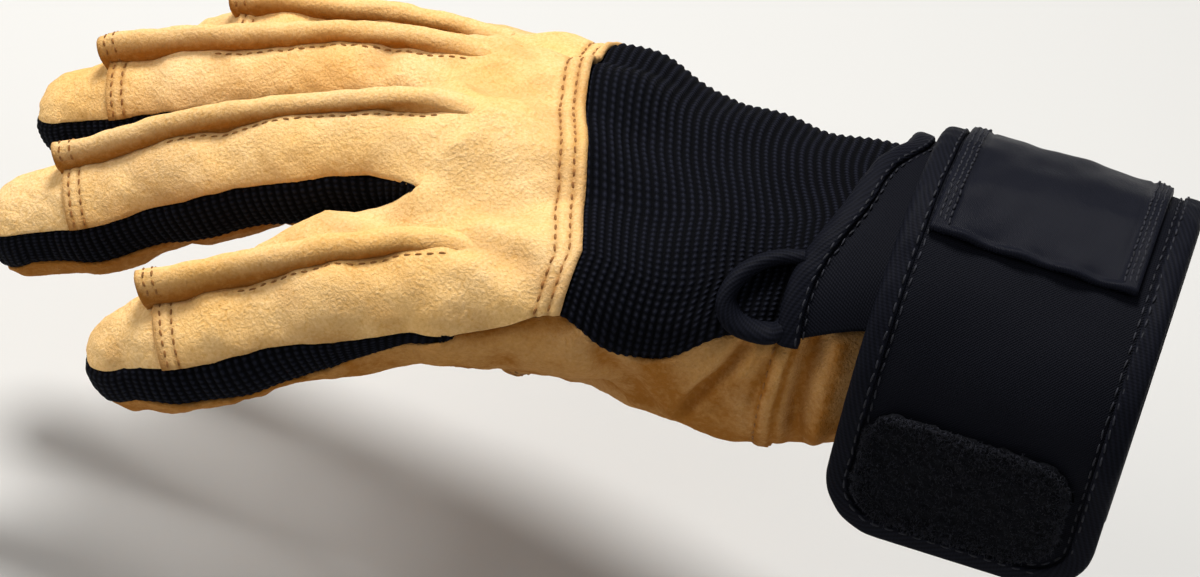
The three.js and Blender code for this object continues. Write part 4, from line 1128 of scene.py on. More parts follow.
def stitch_ridge(points, joined, profile, sides, ups, h, arc, fade):
    """Two rows of stitches over a ridge at its cap end, and a row laid along its near foot."""
    a, b = profile[:, 0], profile[:, 1]
    ring = points[:len(joined) * len(profile)].reshape(len(joined), len(profile), 3)
    out = unit(ring - (joined + ups * (h * 0.45)[:, None])[:, None])
    crown = np.where((b > 0.03) & (a < 0.75))[0]
    crown = crown[np.argsort(np.arctan2(b[crown] - 0.3, a[crown] - 0.1))[::-1]]
    for mm in RIDGE_ROWS:
        i = int(np.searchsorted(arc, mm))
        stitch("caps", ring[i, crown], out[i, crown], pitch=2.0, length=1.4, radius=0.25)
    foot = int(np.argmin(np.abs(b - 0.05) + 3 * (a > 0)))
    run = slice(*(int(len(joined) * q) for q in FOOT_STITCHES))
    line, out = LAID["back"].lay(ring[run, foot] - sides[run] * (0.9 + 0.5 * (1 - fade[run, None])))
    stitch("feet", line, out, pitch=2.4, length=1.5, radius=0.22, sink=0.04)


def build_ridges():
    """Pinched ridges: one rolled profile carried along the top of each finger from over the cap to the
    hand, its height and width falling evenly, its near foot undercut and its far foot run out flat."""
    profile = rounded(RIDGE_PROFILE, 30)
    for k, f in enumerate(ORDER):
        end_x, high, low = RIDGES[f]
        sp = SPINES[f]
        seam = sp.where_x(STATIONS[f]["seam"])
        s = np.linspace(seam + RIDGE_OVERHANG, sp.where_x(end_x), 110)
        o, _, ups, sides = sp.frame(s)
        own, whole = reach(o, ups, 0.3, finger_form(f)), reach(o, ups, 0.3, glove_form)
        joined = mix(own, whole, ease((o[:, :1] - HAND_STARTS + HAND_JOIN) / HAND_JOIN))
        t = np.linspace(-1, 1, len(s))[:, None] ** np.arange(6)
        joined = mix(joined, t @ np.linalg.lstsq(t, joined, rcond=None)[0], 0.8)
        arc = arc_of(joined)
        q = arc / arc[-1]
        fade = np.clip((1 - q) / RIDGE_SINK, 0, 1)
        h = mix(high, low, q ** 0.95) * (0.1 + 0.9 * ease(fade))
        w = mix(high * 0.84, low * 2.6, q) * (0.25 + 0.75 * fade ** 0.5)
        wob = swell(joined, (0.11, 26, 31 + k), (0.06, 6, 32))
        a, b = profile[:, 0], profile[:, 1]
        flat = np.where(a < 0.1, -0.95 * np.clip(1 - b, 0, 1) + 0.1, a)
        across = mix(flat[None], a[None], fade[:, None]) * w[:, None] + wob[:, None] * np.clip(b, 0, 1)[None]
        sag = across ** 2 / 27 * np.clip(1 - b, 0, 1)[None]
        rise = b[None] * np.where(b[None] < 0, np.maximum(h[:, None], 4), h[:, None])
        rise = rise - sag - 0.3 - 1.9 * (1 - fade[:, None]) ** 3
        rise = rise + 0.08 * waves(joined, 16, 36 + k)[:, None] * np.clip(b, 0, 1)[None]
        rings = joined[:, None] + sides[:, None] * across[..., None] + ups[:, None] * rise[..., None]
        points, faces = sweep(rings)
        n = len(joined) * len(profile)
        shade = np.zeros(len(points))
        # Painted shade: darker at the ridge's foot, most on its near side, and over the lower part of its
        # near side, fading out with the ridge
        foot = bell(b, 0.02, 0.2) * np.where(a < 0, 0.9, 0.1)
        lower = 1.3 * np.clip(1.1 - b, 0, 1) * np.clip(0.25 - a, 0, 0.4) / 0.4
        shade[:n] = (np.clip(foot + lower, 0, 1)[None] * fade[:, None] ** 0.7).ravel()
        # Darker along the ridge's cap end and on the face that closes that end
        cap_end_darkening = bell(arc, 0, 0.8) * 0.4
        shade[:n] = np.clip(shade[:n] + cap_end_darkening.repeat(len(profile)), 0, 1)
        shade[n] = 0.35
        grain = swell(points, (0.1, 3, 33), (0.14, 7, 34))
        centre = np.concatenate([joined.repeat(len(profile), 0), points[n:]])
        points = points + unit(points - centre) * grain[:, None]
        uv = np.stack([np.tile(np.linspace(0, 20, len(profile)), len(joined)), arc.repeat(len(profile))], -1)
        uv = np.concatenate([uv, uv[:2]])
        make_piece("suede_ridge_" + f, points, faces, finish("suede"), ["ridge_" + f], uv,
                   {"shade": shade})
        stitch_ridge(points, joined, profile, sides, ups, h, arc, fade)


# Columns across a knit wall, rows round its fingertip, and the degrees that it tucks in past both edges
SIDE_COLS = 18
SIDE_TIP_ROWS = 44
SIDE_TUCK = 7.0
# Heights across a knit wall: tucked under the leather at both edges, near its face in the middle
SIDE_LEVELS = np.concatenate([[-1.5], np.interp(np.linspace(0, 1, SIDE_COLS + 1), [0, 0.2, 0.8, 1],
                                                [-0.75, -0.15, -0.15, -0.75]), [-1.5]])


def across_wall(low, high, tuck):
    """Angles across a knit wall in even steps from edge to edge, with one more past both edges."""
    steps = mix(low[:, None], high[:, None], np.linspace(0, 1, SIDE_COLS + 1)[None])
    return np.concatenate([low[:, None] - tuck, steps, high[:, None] + tuck], 1)


def side_rows(f, side, s, root):
    """Rows of a knit wall: across the side of the finger from edge to edge, tucked in past both edges."""
    lo, hi = edges_of(f, side, s)
    deg = across_wall(lo + root, hi, SIDE_TUCK)
    o, _, up, sd = SPINES[f].frame(s)
    return reach(o[:, None], around(up[:, None], sd[:, None], side * deg), SIDE_LEVELS[None], finger_form(f))


def side_tip(f, side):
    """Knit wall around the fingertip: rays turned forward in even steps, between the risen edges."""
    o, t, up, sd = (a[0] for a in SPINES[f].frame(np.array([SPINES[f].length])))
    lo, hi = edges_of(f, side, SPINES[f].length)
    az = np.radians(90.0 * np.arange(1, SIDE_TIP_ROWS + 1) / SIDE_TIP_ROWS)
    k = np.sin(az)
    top, low = mix(90 - lo, TIP_TOP, k), mix(90 - hi, TIP_LOW, k)
    el = np.radians(across_wall(top, low, -SIDE_TUCK))[..., None]
    lat = unit(sd * side * np.cos(az)[:, None] + t * np.sin(az)[:, None])[:, None]
    d = unit(up * np.sin(el) + lat * np.cos(el))
    return reach(np.broadcast_to(o, d.shape), d, SIDE_LEVELS[None], finger_form(f))


# Row to row along a knit wall, fine enough for its ribs, and rows between its control rows
SIDE_STEP = 0.42
SIDE_SKIP = 10
# Rows of the bridge from a finger to the web between two, and to the run beside the hand
WEB_ROWS = 26
HAND_ROWS = 24
# Degrees that the wall's upper edge goes down beside the web, over this length from the fork
WEB_DROP = 8
WEB_DROP_LENGTH = 9
# How far the web's upper edge goes down, its lower edge up, and its tucked edges back and down
WEB_TOP_DOWN = 2.1
WEB_LOW_UP = 0.8
WEB_TUCK_BACK = (2.6, 2.5)
WEB_TUCK_DOWN = 2.0
# Ribs across the wall and stitches along it: heights, and the pitch of the stitches
SIDE_RIB = 0.2
SIDE_COURSE = 0.1
SIDE_COURSE_PITCH = 1.25


def finger_run(f, side, root):
    """Knit wall along one side of a finger, from the middle of its tip to its fork."""
    sp = SPINES[f]
    fork = sp.where_x(STATIONS[f]["fork"])
    s = np.linspace(sp.length, fork, int((sp.length - fork) / SIDE_STEP) + 1)
    near_fork = np.clip(1 - (s - fork) / WEB_DROP_LENGTH, 0, 1)
    return np.concatenate([side_tip(f, side)[::-1], side_rows(f, side, s, root * near_fork)])


def run_centre(f, rows):
    """Points inside the finger for the rows of its run."""
    sp = SPINES[f]
    along = np.linspace(sp.length, sp.where_x(STATIONS[f]["fork"]), rows - SIDE_TIP_ROWS)
    return np.concatenate([held(sp.at(sp.length), SIDE_TIP_ROWS), sp.at(along)])


def spaced(run):
    """Three spaced rows at the hand end of a run, the last one at its end."""
    return run[[-1 - 2 * SIDE_SKIP, -1 - SIDE_SKIP, -1]]


def finish_side(name, grid, centre, tips):
    """A knit wall from its grid: ribs across it and courses along it, as low sine waves of real relief that
    fade at its edges and round the fingertip."""
    pitch = bpy.context.scene.glove_look.side_rib_pitch * 1000
    cloth = lengths(grid)
    v = cloth[..., 1]
    gap = np.linalg.norm(np.diff(grid[:, 1:-1], axis=1), axis=-1).sum(1)
    skin = Skin().add(grid, centre, cloth, rib=v, wide=np.linspace(-1, 1, grid.shape[1])[None],
                      end=tips[:, None], gap=gap[:, None]).weld()
    f = skin.field
    edge = np.clip((0.96 - np.abs(f["wide"])) / 0.12, 0, 1) * np.clip(f["gap"] / 7 - 0.1, 0, 1)
    ribs = SIDE_RIB * np.sin(2 * np.pi * f["rib"] / pitch) * edge * f["end"]
    courses = SIDE_COURSE * np.sin(2 * np.pi * skin.uv[:, 0] / SIDE_COURSE_PITCH) * edge * (1.25 - f["end"])
    skin.push(ribs + courses + swell(skin.points, (0.12, 9, 41)))
    skin.field = {}
    blank = (float(gap.max() + 4), float(v.max()))
    sew("knit_wall_" + name, skin, KNIT_WALL, "knit_side", "knit_side_" + name, 0.1, blank)


def build_web_wall(k):
    """Knit wall between two fingers: a run down each, joined by splines over a line across the web."""
    a, b = ORDER[k], ORDER[k + 1]
    first, second = hand_origin(a, STATIONS[a]["web"]), hand_origin(b, STATIONS[b]["web"])
    x = (first[0] + second[0]) / 2 - WEB_DEPTH[k] - WEB_AHEAD
    top, low = (reach(crease_origin(k, x, sign), [0, 0, sign], 0, glove_form) for sign in (1.0, -1.0))
    q = np.concatenate([[-0.12], np.linspace(0, 1, SIDE_COLS + 1), [1.12]])
    web = np.stack([np.full(SIDE_COLS + 3, x), mix(top[1], low[1], q),
                    mix(top[2] - WEB_TOP_DOWN, low[2] + WEB_LOW_UP, q)], -1)
    web[[0, -1], 0] += WEB_TUCK_BACK
    web[0, 2] -= WEB_TUCK_DOWN
    ra, rb = finger_run(a, 1, WEB_DROP), finger_run(b, -1, WEB_DROP)
    mid_a = bridge(spaced(ra), np.stack([web, rb[-1], rb[-1 - SIDE_SKIP]]), WEB_ROWS)
    mid_b = bridge(np.stack([ra[-1 - SIDE_SKIP], ra[-1], web]), spaced(rb)[::-1], WEB_ROWS)
    grid = np.concatenate([ra, mid_a, web[None], mid_b, rb[::-1]])
    behind = np.array([x + 30, (first[1] + second[1]) / 2, first[2]])
    centre = np.concatenate([run_centre(a, len(ra)), held(behind, 2 * WEB_ROWS - 1),
                             run_centre(b, len(rb))[::-1]])
    i = np.arange(len(grid))
    tips = np.clip(np.minimum(i - 30, len(grid) - 31 - i) / 40, 0, 1)
    finish_side(a + "_" + b, grid, centre[:, None], tips)


def build_outer_wall(f, side, rows):
    """Knit wall on an outer side: a run down the finger and on beside the hand, pinched shut at its end."""
    run = finger_run(f, side, 0)
    last = OUTER_KNIT_END + 2.5
    x = np.linspace(STATIONS[f]["web"], last, 22)
    lo, hi = side_edge(rows, x, 1), side_edge(rows, x, -1)
    pinch = np.clip((last - x) / 3, 0, 1)
    mid = (lo + hi) / 2
    deg = across_wall(mix(mid, lo, pinch), mix(mid, hi, pinch), side * mix(1.5, 6.0, pinch)[:, None])
    o = hand_origin(f, x)
    deep = SIDE_LEVELS[None] - 1.2 * (1 - pinch)[:, None]
    tail = reach(o[:, None], around(np.array([0, 0, 1.0]), np.array([0, 1.0, 0]), deg), deep, glove_form)
    join = bridge(spaced(run), tail[[0, 4, 8]], HAND_ROWS)
    grid = np.concatenate([run, join, tail])
    fork = SPINES[f].at(SPINES[f].where_x(STATIONS[f]["fork"]))
    centre = np.concatenate([run_centre(f, len(run)), held(fork, len(join)), o])
    tips = np.clip((np.arange(len(grid)) - 30) / 40, 0, 1)
    finish_side(f + "_outer", grid, centre[:, None], tips)


def build_knit_sides():
    """Knit walls: one run per pair of fingers, from one fingertip round the web to the other, and one on
    each outer side."""
    for k in range(3):
        build_web_wall(k)
    build_outer_wall("index", -1, THUMB_SIDE_EDGE)
    build_outer_wall("little", 1, LITTLE_SIDE_EDGE)


PALM_FOLDS = [
    ([[-63.6, -31, 8], [-63.4, -34.9, -0.2], [-63.0, -35.1, -10.6], [-63, -28, -20]], 1.9, 2.6, 0.6),
    ([[-58, -31, 8], [-58, -33, -2], [-58.5, -32, -12], [-60, -24, -21]], 2.2, -1.3, 0.0),
    ([[-76, -36, 4], [-78.5, -37.5, -1.5], [-81, -38.4, -5.5], [-85, -36, -14]], 1.3, 1.7, 0.9),
    ([[-92, -40, -4], [-89, -40, -10], [-84, -37, -17], [-76, -31, -22]], 5.5, -1.4, 0.0),
    ([[-104, -43, -1], [-98, -42, -9], [-93, -36, -17]], 2.6, 1.2, 0.5),
    ([[-131, -50, -3], [-126, -49, -1.5], [-120.7, -47.4, 0.5], [-115.3, -46, 2.6], [-110, -45, 3.5]],
     2.0, 1.2, 0.3),
    ([[-71, -36, 2], [-72.5, -37, -6], [-72, -34, -15]], 1.4, 0.7, 0.4),
    ([[-96, 30, -13], [-100, 12, -20], [-108, -8, -18], [-114, -28, -12]], 2.8, 0.9, 0.5),
    ([[-112, 30, -13], [-116, 14, -14], [-118, 0, -13]], 2.4, 0.7, 0.4),
    ([[-70, 24, -18], [-82, 14, -22], [-92, 4, -22]], 3.0, 0.7, 0.4),
]


# Heights of the palm over the hand and of the fingers' undersides, and rows round a fingertip
PALM_LEVEL = -0.3
UNDER_LEVEL = -0.1
PALM_TIP_ROWS = 16
# Creases under each finger, by the length from its fork
FINGER_CREASES = (24, 46)
# x of the sewn-on strip at the base of the thumb, its width, and the x of its stitches
STRIP_X = -67.6
STRIP_WIDTH = 3.6
STRIP_STITCHES = -70.5


def build_palm():
    """Palm with the undersides of the fingers: hand strips on the lower side from the cuff to the web, a
    spline bridge, rows under each finger, and the rounded ends. Rows are finer beside the strip."""
    cols = 34
    x = np.concatenate([np.arange(CUFF_X, -52, -1.2), np.arange(-52.5, -76, -0.42),
                        hand_x(-76.4, WEB_X, 0.85)])
    xs = across_hand(x)
    low = side_edge(THUMB_SIDE_EDGE, xs[:, 0], -1) - HALF
    high = side_edge(LITTLE_SIDE_EDGE, xs[:, 3], -1) + HALF
    v = np.clip((x - HEM_X) / (WEB_X - HEM_X), 0, None)
    strips = hand_strips(x, -1, cols, PALM_LEVEL, low, high, v * v)
    skin = Skin()
    for k, f in enumerate(ORDER):
        sp = SPINES[f]
        fork = sp.where_x(STATIONS[f]["fork"])
        s = np.linspace(fork, sp.length, int((sp.length - fork) / 0.85) + 1)
        low_edge, high_edge = -edges_of(f, -1, s)[1] - HALF, edges_of(f, 1, s)[1] + HALF - 360
        rows = finger_rows(f, s, low_edge, high_edge, cols, UNDER_LEVEL)
        join = fork_bridge(strips[k], rows, 14)
        grid = np.concatenate([strips[k], join, rows, tip_rows(f, PALM_TIP_ROWS, cols, 1, UNDER_LEVEL)])
        centre = np.concatenate([hand_origin(f, xs[:, k]), held(sp.at(fork), len(join)),
                                 sp.at(s), held(sp.at(sp.length), PALM_TIP_ROWS)])
        along = np.concatenate([np.zeros(len(strips[k]) + len(join)), s - fork,
                                np.full(PALM_TIP_ROWS, sp.length - fork)])
        skin.add(grid, centre[:, None], finger=along[:, None])
    skin.weld()
    p, finger = skin.points, skin.field["finger"]
    lift = swell(p, (0.45, 19, 51), (0.2, 7, 52), (0.07, 2.8, 53))
    bends = relief(finger, [(at, 1.6, -0.55) for at in FINGER_CREASES]) * (finger > 2)
    strip = p[:, 0] - (STRIP_X + swell(p * [0, 1, 1], (0.25, 9, 56)))
    front = np.clip((-p[:, 1] - 8) / 12, 0, 1)
    raised = np.clip((strip + STRIP_WIDTH) / 2.2, 0, 1) * np.clip((0.25 - strip) / 0.5, 0, 1)
    lift += front * (0.95 * raised - 0.3 * bell(strip, -2.9, 0.4))
    skin.push(lift + bends + fold_height(p, PALM_FOLDS))
    # Painted shade: the palm darkened overall and more towards the bottom, for the shade under the hand, and
    # darker in the folds, along the raised strip's edge and in its stitch groove; the clipped swells are the
    # suede's own uneven tone
    shade = 0.66 + 0.24 * np.clip((-p[:, 2] - 2) / 22, 0, 1) + fold_shade(p, PALM_FOLDS)
    shade += np.clip(swell(p, (0.2, 24, 54), (0.12, 9, 55)), 0, 1)
    shade += front * relief(strip, [(0.5, 0.7, 0.45), (-2.9, 0.5, 0.3)])
    skin.field = {"shade": np.clip(shade, 0, 1)}
    index = skin.index[0]
    place = skin.points[index]
    col = np.arange(index.shape[1])
    row = np.argmin(np.abs(place[..., 0] - STRIP_STITCHES), axis=0)
    seen = place[row, col, 1] < -14
    i = index[row[seen], col[seen]]
    stitch("palm", skin.points[i], skin.normals()[i], pitch=2.6, length=1.7, radius=0.24)
    sew("suede_palm", skin, PALM_WALL, "suede", "leather_palm", 0.3, (150, 262))


KNIT_FOLDS = [
    ([[-62, -20, 22], [-66, -27, 14], [-70, -31, 6]], 3.4, 1.3, 0.6),
    ([[-76, -34, 10], [-84, -36, 6], [-92, -37, 4]], 3.2, -0.8, 0.0),
]


# The knit starts under the leather at this x, and goes down by this much in front of this row
KNIT_START = -116
KNIT_UNDER = 0.9
KNIT_UNDER_ROW = 109.5
KNIT_LEVEL = 0.15
# Ribs round the hand and courses along it: heights, and the pitch of the courses
BACK_RIB = 0.26
BACK_COURSE = 0.07
BACK_COURSE_PITCH = 1.15


def build_knit_back():
    """Knit back of the hand: hand strips from under the leather hem to the cuff, with ribs that run
    around the hand as low sine waves of real relief."""
    cols = 26
    x = hand_x(KNIT_START, CUFF_X, 0.4)
    xs = across_hand(x)
    low = side_edge(THUMB_SIDE_EDGE, xs[:, 0], 1)
    high = side_edge(LITTLE_SIDE_EDGE, xs[:, 3], 1)
    strips = hand_strips(x, 1, cols, KNIT_LEVEL, low, high, np.zeros(len(x)))
    skin = Skin()
    v = -x
    start, far = 0.0, 10.0
    for k, f in enumerate(ORDER):
        wide = np.linalg.norm(np.diff(strips[k], axis=1), axis=-1).mean(0)
        u = start + np.concatenate([[0], np.cumsum(wide)])
        start = u[-1]
        cloth = np.stack(np.broadcast_arrays(u[None], v[:, None]), -1)
        edge = {0: u - u[0], 3: u[-1] - u}.get(k, np.full(cols + 1, far))
        skin.add(strips[k], hand_origin(f, xs[:, k])[:, None], cloth, row=v[:, None], edge=edge[None])
    skin.weld()
    p, row, edge = skin.points, skin.field["row"], skin.field["edge"]
    pitch = bpy.context.scene.glove_look.rib_pitch * 1000
    ribs = BACK_RIB * np.sin(2 * np.pi * row / pitch)
    courses = BACK_COURSE * np.sin(2 * np.pi * skin.uv[:, 0] / BACK_COURSE_PITCH)
    under = -KNIT_UNDER * np.clip((row - KNIT_UNDER_ROW) / 2.5, 0, 1)
    lip = 0.5 * bell(edge, 1.2, 1.1)
    skin.push(ribs + courses + under + lip + swell(p, (0.35, 22, 61)) + fold_height(p, KNIT_FOLDS))
    skin.field = {}
    sew("knit_hand_back", skin, KNIT_BACK_WALL, "knit_back", "knit_back", 0.35, (112, 124))


# Arc lengths where the thumb's tube starts inside the palm and where it has come out of it
THUMB_START = 34
THUMB_OUT = 51
# How deep it starts, its stitch rows back from the seam, and its columns
THUMB_SINK = 2.3
THUMB_ROWS = (1.2, 3.2)
THUMB_COLS = 84


def build_thumb_tube(turn):
    """Rows of rays around the thumb's spine, from inside the palm to just past the cap seam."""
    seam = THUMB_SPINE.length + 0.4
    s = np.linspace(THUMB_START, seam, 56)
    o, _, up, side = THUMB_SPINE.frame(s)
    level = -THUMB_SINK * np.clip((THUMB_OUT - s) / 8, 0, 1) ** 1.5
    rays = around(up[:, None], side[:, None], turn[None].repeat(len(s), 0))
    skin = Skin().add(reach(o[:, None], rays, level[:, None], thumb_form), o[:, None],
                      seam=(seam - s)[:, None]).weld()
    p, d = skin.points, skin.field["seam"]
    skin.push(swell(p, (0.35, 14, 71), (0.14, 5, 72)) + relief(d, [(0, 2.4, 0.6), (1.2, 0.5, -0.28)]))
    # Painted shade: darkened overall like the palm, for the shade under the hand, and more in the stitch
    # groove by the seam; the clipped swells are the suede's own uneven tone
    shade = 0.76 + 0.24 * bell(d, 1.2, 0.6) + np.clip(swell(p, (0.2, 18, 73)), 0, 1)
    skin.field = {"shade": np.clip(shade, 0, 1)}
    sew("suede_thumb", skin, PALM_WALL, "suede", "thumb_tube", 0.3, (80, 56))
    for mm in THUMB_ROWS:
        row = len(s) - 1 - int(round(mm / (s[1] - s[0])))
        stitch("thumb", *skin.line(0, row=row), pitch=2.2, length=1.5, radius=0.25)


def build_thumb_cap(turn):
    """Dome of rays around the end of the thumb's spine, from behind the seam to straight ahead."""
    tip, t, up, side = (a[0] for a in THUMB_SPINE.frame(np.array([THUMB_SPINE.length])))
    phi = np.radians(np.concatenate([np.linspace(-24, 0, 12)[:-1], np.linspace(0, 90, 34)]))
    d = unit(around(up, side, turn)[None] * np.cos(phi)[:, None, None] + t * np.sin(phi)[:, None, None])
    d[-1] = t
    dome = reach(np.broadcast_to(tip, d.shape), d, -0.4, thumb_form)
    skin = Skin().add(dome, tip, back=np.degrees(phi)[:, None]).weld()
    p, back = skin.points, skin.field["back"]
    skin.push(swell(p, (0.25, 12, 74)) * np.clip(back / 20, 0, 1) - np.clip((2 - back) / 8, 0, 1))
    # Painted shade: darkened overall like the palm, for the shade under the hand; the clipped swells are the
    # suede's own uneven tone
    skin.field = {"shade": np.clip(0.7 + swell(p, (0.15, 16, 75)), 0, 1)}
    sew("suede_thumb_cap", skin, CAP_WALL, "suede", "cap_thumb", 0.3, (36, 46))


def build_thumb():
    """Thumb's tube with its stitched seam, then its domed cap."""
    turn = np.linspace(0, 360, THUMB_COLS + 1)
    turn = np.where(turn == 360, 0, turn)
    build_thumb_tube(turn)
    build_thumb_cap(turn)


# Bands and straps

# x of the band's slanting edge by the angle from straight up, and the angle of its end by x
BAND_EDGE = [[-78, -70], [-64, -71.1], [-50, -70.5], [-22, -66.5], [12, -63.8], [30, -60.4], [60, -60.2],
             [110, -60], [202, -60]]
BAND_END = [[-71, -77], [-65, -72.5], [-57, -67], [-40, -62], [-3, -58]]
# Middle line of the loop of tape: x, degrees
LOOP = [[-70, -48.5], [-74.5, -51], [-78.6, -56], [-81.4, -62.5], [-82, -69], [-79.6, -74],
        [-75.5, -76], [-71.5, -75.5], [-69.5, -72.5]]
# The strap's middle surface: half axes of its ellipse, its drop, first and last angle, height of the free
# end, edges along X, radius of the corners
STRAP = {"a": 38.6, "b": 31.4, "drop": 0.8, "from": 196, "to": -92, "hang": -28.4, "left": -54, "right": 0.5,
         "corner": 13}


def band_point(x, deg, level):
    """Point over the wrist: a ray square to X from its middle, turned by degrees from straight up."""
    x, deg, level = np.broadcast_arrays(x, deg, level)
    o = np.stack([x, np.zeros_like(x), np.full_like(x, -0.5)], -1)
    a = np.radians(deg)
    d = np.stack([np.zeros_like(a), np.sin(a), np.cos(a)], -1)
    return reach(o, d, level, hand_form)


# x where the band's end starts, its far edge under the strap, its last angle, height and wall
BAND_NEAR = -70.0
BAND_FAR = -3.0
BAND_LAST = 200
BAND_LEVEL = 2.5
BAND_WALL = 1.4
# A point inside the wrist, from which the band's wall faces outwards
BAND_MIDDLE = [-30.0, 0, -0.5]
# Cross-sections over the hand: place across the tape, height
BAND_TAPE = [[4.2, 2.6], [4.2, 3.2], [2.6, 3.75], [0.9, 3.7], [-0.2, 2.9], [-0.5, 1.8], [-0.1, 0.8],
             [1.2, 0.5], [4.2, 0.5], [4.2, 1.2]]
LOOP_TAPE = [[-1.6, 0.2], [-1.8, 1.6], [-1.5, 3.2], [-0.6, 4.0], [0.5, 3.9], [1.5, 2.9], [1.8, 1.5],
             [1.6, 0.2]]
# Millimetres round the wrist for each degree
LOOP_DEGREE = 0.62
# Stitch rows beside the binding: place across, height, length, radius, first place
BAND_ROWS = [(3.7, 3.5, 1.9, 0.24, 0.5), (4.9, 2.7, 1.7, 0.2, 1.0)]
# Width in cloth coordinates of a tape's whole way round
TAPE_ROUND = 12


def tube_shell(rings):
    """Sweep with cloth coordinates along it and round it."""
    points, faces = sweep(rings)
    n, m = rings.shape[:2]
    arc = arc_of(rings.mean(1))
    uv = np.stack([arc.repeat(m), np.tile(np.linspace(0, TAPE_ROUND, m), n)], -1)
    return points, faces, np.concatenate([uv, uv[:2]])


def build_band_cloth():
    """Inner wrist band: rays round the wrist from its slanting edge to the far edge under the strap."""
    rows, cols = 250, 44
    across = np.linspace(0, 1, cols)[None]
    first = soft_table(BAND_END, mix(BAND_NEAR, BAND_FAR, across), 1)
    deg = mix(first, BAND_LAST, np.linspace(0, 1, rows)[:, None])
    left = soft_table(BAND_EDGE, deg, 1) + 1.7
    x = mix(left, BAND_FAR, across)
    skin = Skin().add(band_point(x, deg, BAND_LEVEL), BAND_MIDDLE, edge=(x - left)).weld()
    skin.push(swell(skin.points, (0.3, 18, 81)) - 0.3 * bell(skin.field["edge"], 3.4, 0.6))
    skin.field = {}
    band = make_wall("band_cloth", skin, BAND_WALL, finish("twill"), ["wrist_band"], 0.2)


def build_band_tape():
    """Binding: a rounded profile carried along the band's slanting edge, and two rows of stitches."""
    degs = np.linspace(-77, 200, 270)
    prof = rounded(BAND_TAPE, 22)
    edge = soft_table(BAND_EDGE, degs, 1)
    rings = band_point(edge[:, None] + prof[None, :, 0], degs[:, None], prof[None, :, 1])
    points, faces, uv = tube_shell(rings)
    points = points + swell(points, (0.18, 7, 82))[:, None] * unit(points - [-40, 0, 0])
    make_piece("band_tape", points, faces, finish("tape"), ["band_binding"], uv)
    for mm, high, long, radius, first in BAND_ROWS:
        line = band_point(edge + mm, degs, high)
        stitch("straps", line, unit(line * [0, 1, 1]), pitch=2.6, length=long, radius=radius, start=first)


def build_loop():
    """Loop: a rounded profile carried along its middle line, which is bent in x and degrees."""
    loop = Spine([[x, deg * LOOP_DEGREE, 0, 0] for x, deg in LOOP], 40)
    s = np.linspace(0, loop.length, 120)
    at, t, _, _ = loop.frame(s)
    prof = rounded(LOOP_TAPE, 20)
    x = at[:, 0, None] - t[:, 1, None] * prof[None, :, 0]
    deg = (at[:, 1, None] + t[:, 0, None] * prof[None, :, 0]) / LOOP_DEGREE
    points, faces, uv = tube_shell(band_point(x, deg, prof[None, :, 1]))
    make_piece("loop_tape", points, faces, finish("tape"), ["band_loop"], uv)


def build_band():
    """Inner wrist band, its bound edge and the loop beside it, all at set heights over the hand."""
    build_band_cloth()
    build_band_tape()
    build_loop()


class Wrap:
    """Cross-section of a wrap: an ellipse turned from one angle to another, then straight down."""

    def __init__(self, s):
        w = np.radians(np.linspace(s["from"], s["to"], 400))
        p = np.stack([s["a"] * np.sin(w), s["b"] * np.cos(w) - s["drop"]], -1)
        i = np.arange(1, 61) / 60
        y, z = p[-1]
        down = np.stack([y - 0.8 * np.sin(np.pi / 2 * i), mix(z, s["hang"], i)], -1)
        self.p = np.concatenate([p, down])
        self.arc = arc_of(self.p)
        self.total = self.arc[-1]
        self.d = unit(np.gradient(self.p, self.arc, axis=0))
        n = np.stack([self.d[:, 1], -self.d[:, 0]], -1)
        self.n = n * np.sign((n * self.p).sum(-1))[:, None]

    def point(self, u, x, h):
        """Point at a length along the wrap, a place across it and a height over its middle."""
        u, x, h = np.broadcast_arrays(u, x, h)
        yz = taken(u, self.arc, self.p) + unit(taken(u, self.arc, self.n)) * h[..., None]
        return np.concatenate([x[..., None], yz], -1)

    def direction(self, u, rows):
        """Directions of the cross-section, taken at lengths along it, with no part along X."""
        d = unit(taken(u, self.arc, rows))
        return np.concatenate([np.zeros(d.shape[:-1] + (1,)), d], -1)

    def normal(self, u):
        """Outward normals at lengths along the wrap."""
        return self.direction(u, self.n)

    def forward(self, u):
        """Directions in which the wrap runs at lengths along it."""
        return self.direction(u, self.d)


WRAP = Wrap(STRAP)
# A height over the strap that lies inside the wrist
INSIDE = -40.0


def strap_wave(u, x):
    """Soft waves of the strap: a few plane waves of its length and width, near a millimetre high."""
    p = np.stack(np.broadcast_arrays(u, x, 0.0 * u), -1)
    return swell(p, (0.55, 46, 91), (0.22, 17, 92))


def strap_grid(u0, u1, x0, x1, corner, h, rows, cols, corner_start=0.0, lift=None):
    """Grid over the strap between two lengths and two places across, its ends rounded by circles."""
    hw, xm = (x1 - x0) / 2, (x0 + x1) / 2
    v = np.linspace(-1, 1, cols + 1)[None]
    plain = mix(u0, u1, np.linspace(0, 1, rows + 1)[:, None]) + 0 * v

    def cut(r):
        """How far a rounded corner shortens each column."""
        if not r:
            return 0 * v
        k = np.maximum(0, (np.abs(v) * hw - (hw - r)) / r)
        return r * (1 - np.sqrt(np.maximum(0, 1 - k * k)))

    c1, c0 = u1 - corner - 1, u0 + corner_start + 1
    u = np.where((corner > 0) & (plain > c1), c1 + (plain - c1) * (u1 - cut(corner) - c1) / (u1 - c1), plain)
    u = np.where((corner_start > 0) & (plain < c0),
                 c0 - (c0 - plain) * (c0 - u0 - cut(corner_start)) / (c0 - u0), u)
    x = xm + v * hw + 0 * u
    height = h + strap_wave(u, x) + (lift(u, x) if lift else 0)
    return WRAP.point(u, x, height), u, x


def strap_skin(grid, u, x, **fields):
    """A skin on the strap, facing away from the wrist, with its place on the strap as cloth coordinates."""
    return Skin().add(grid, WRAP.point(u, x, INSIDE), np.stack([x, u], -1), **fields).weld()


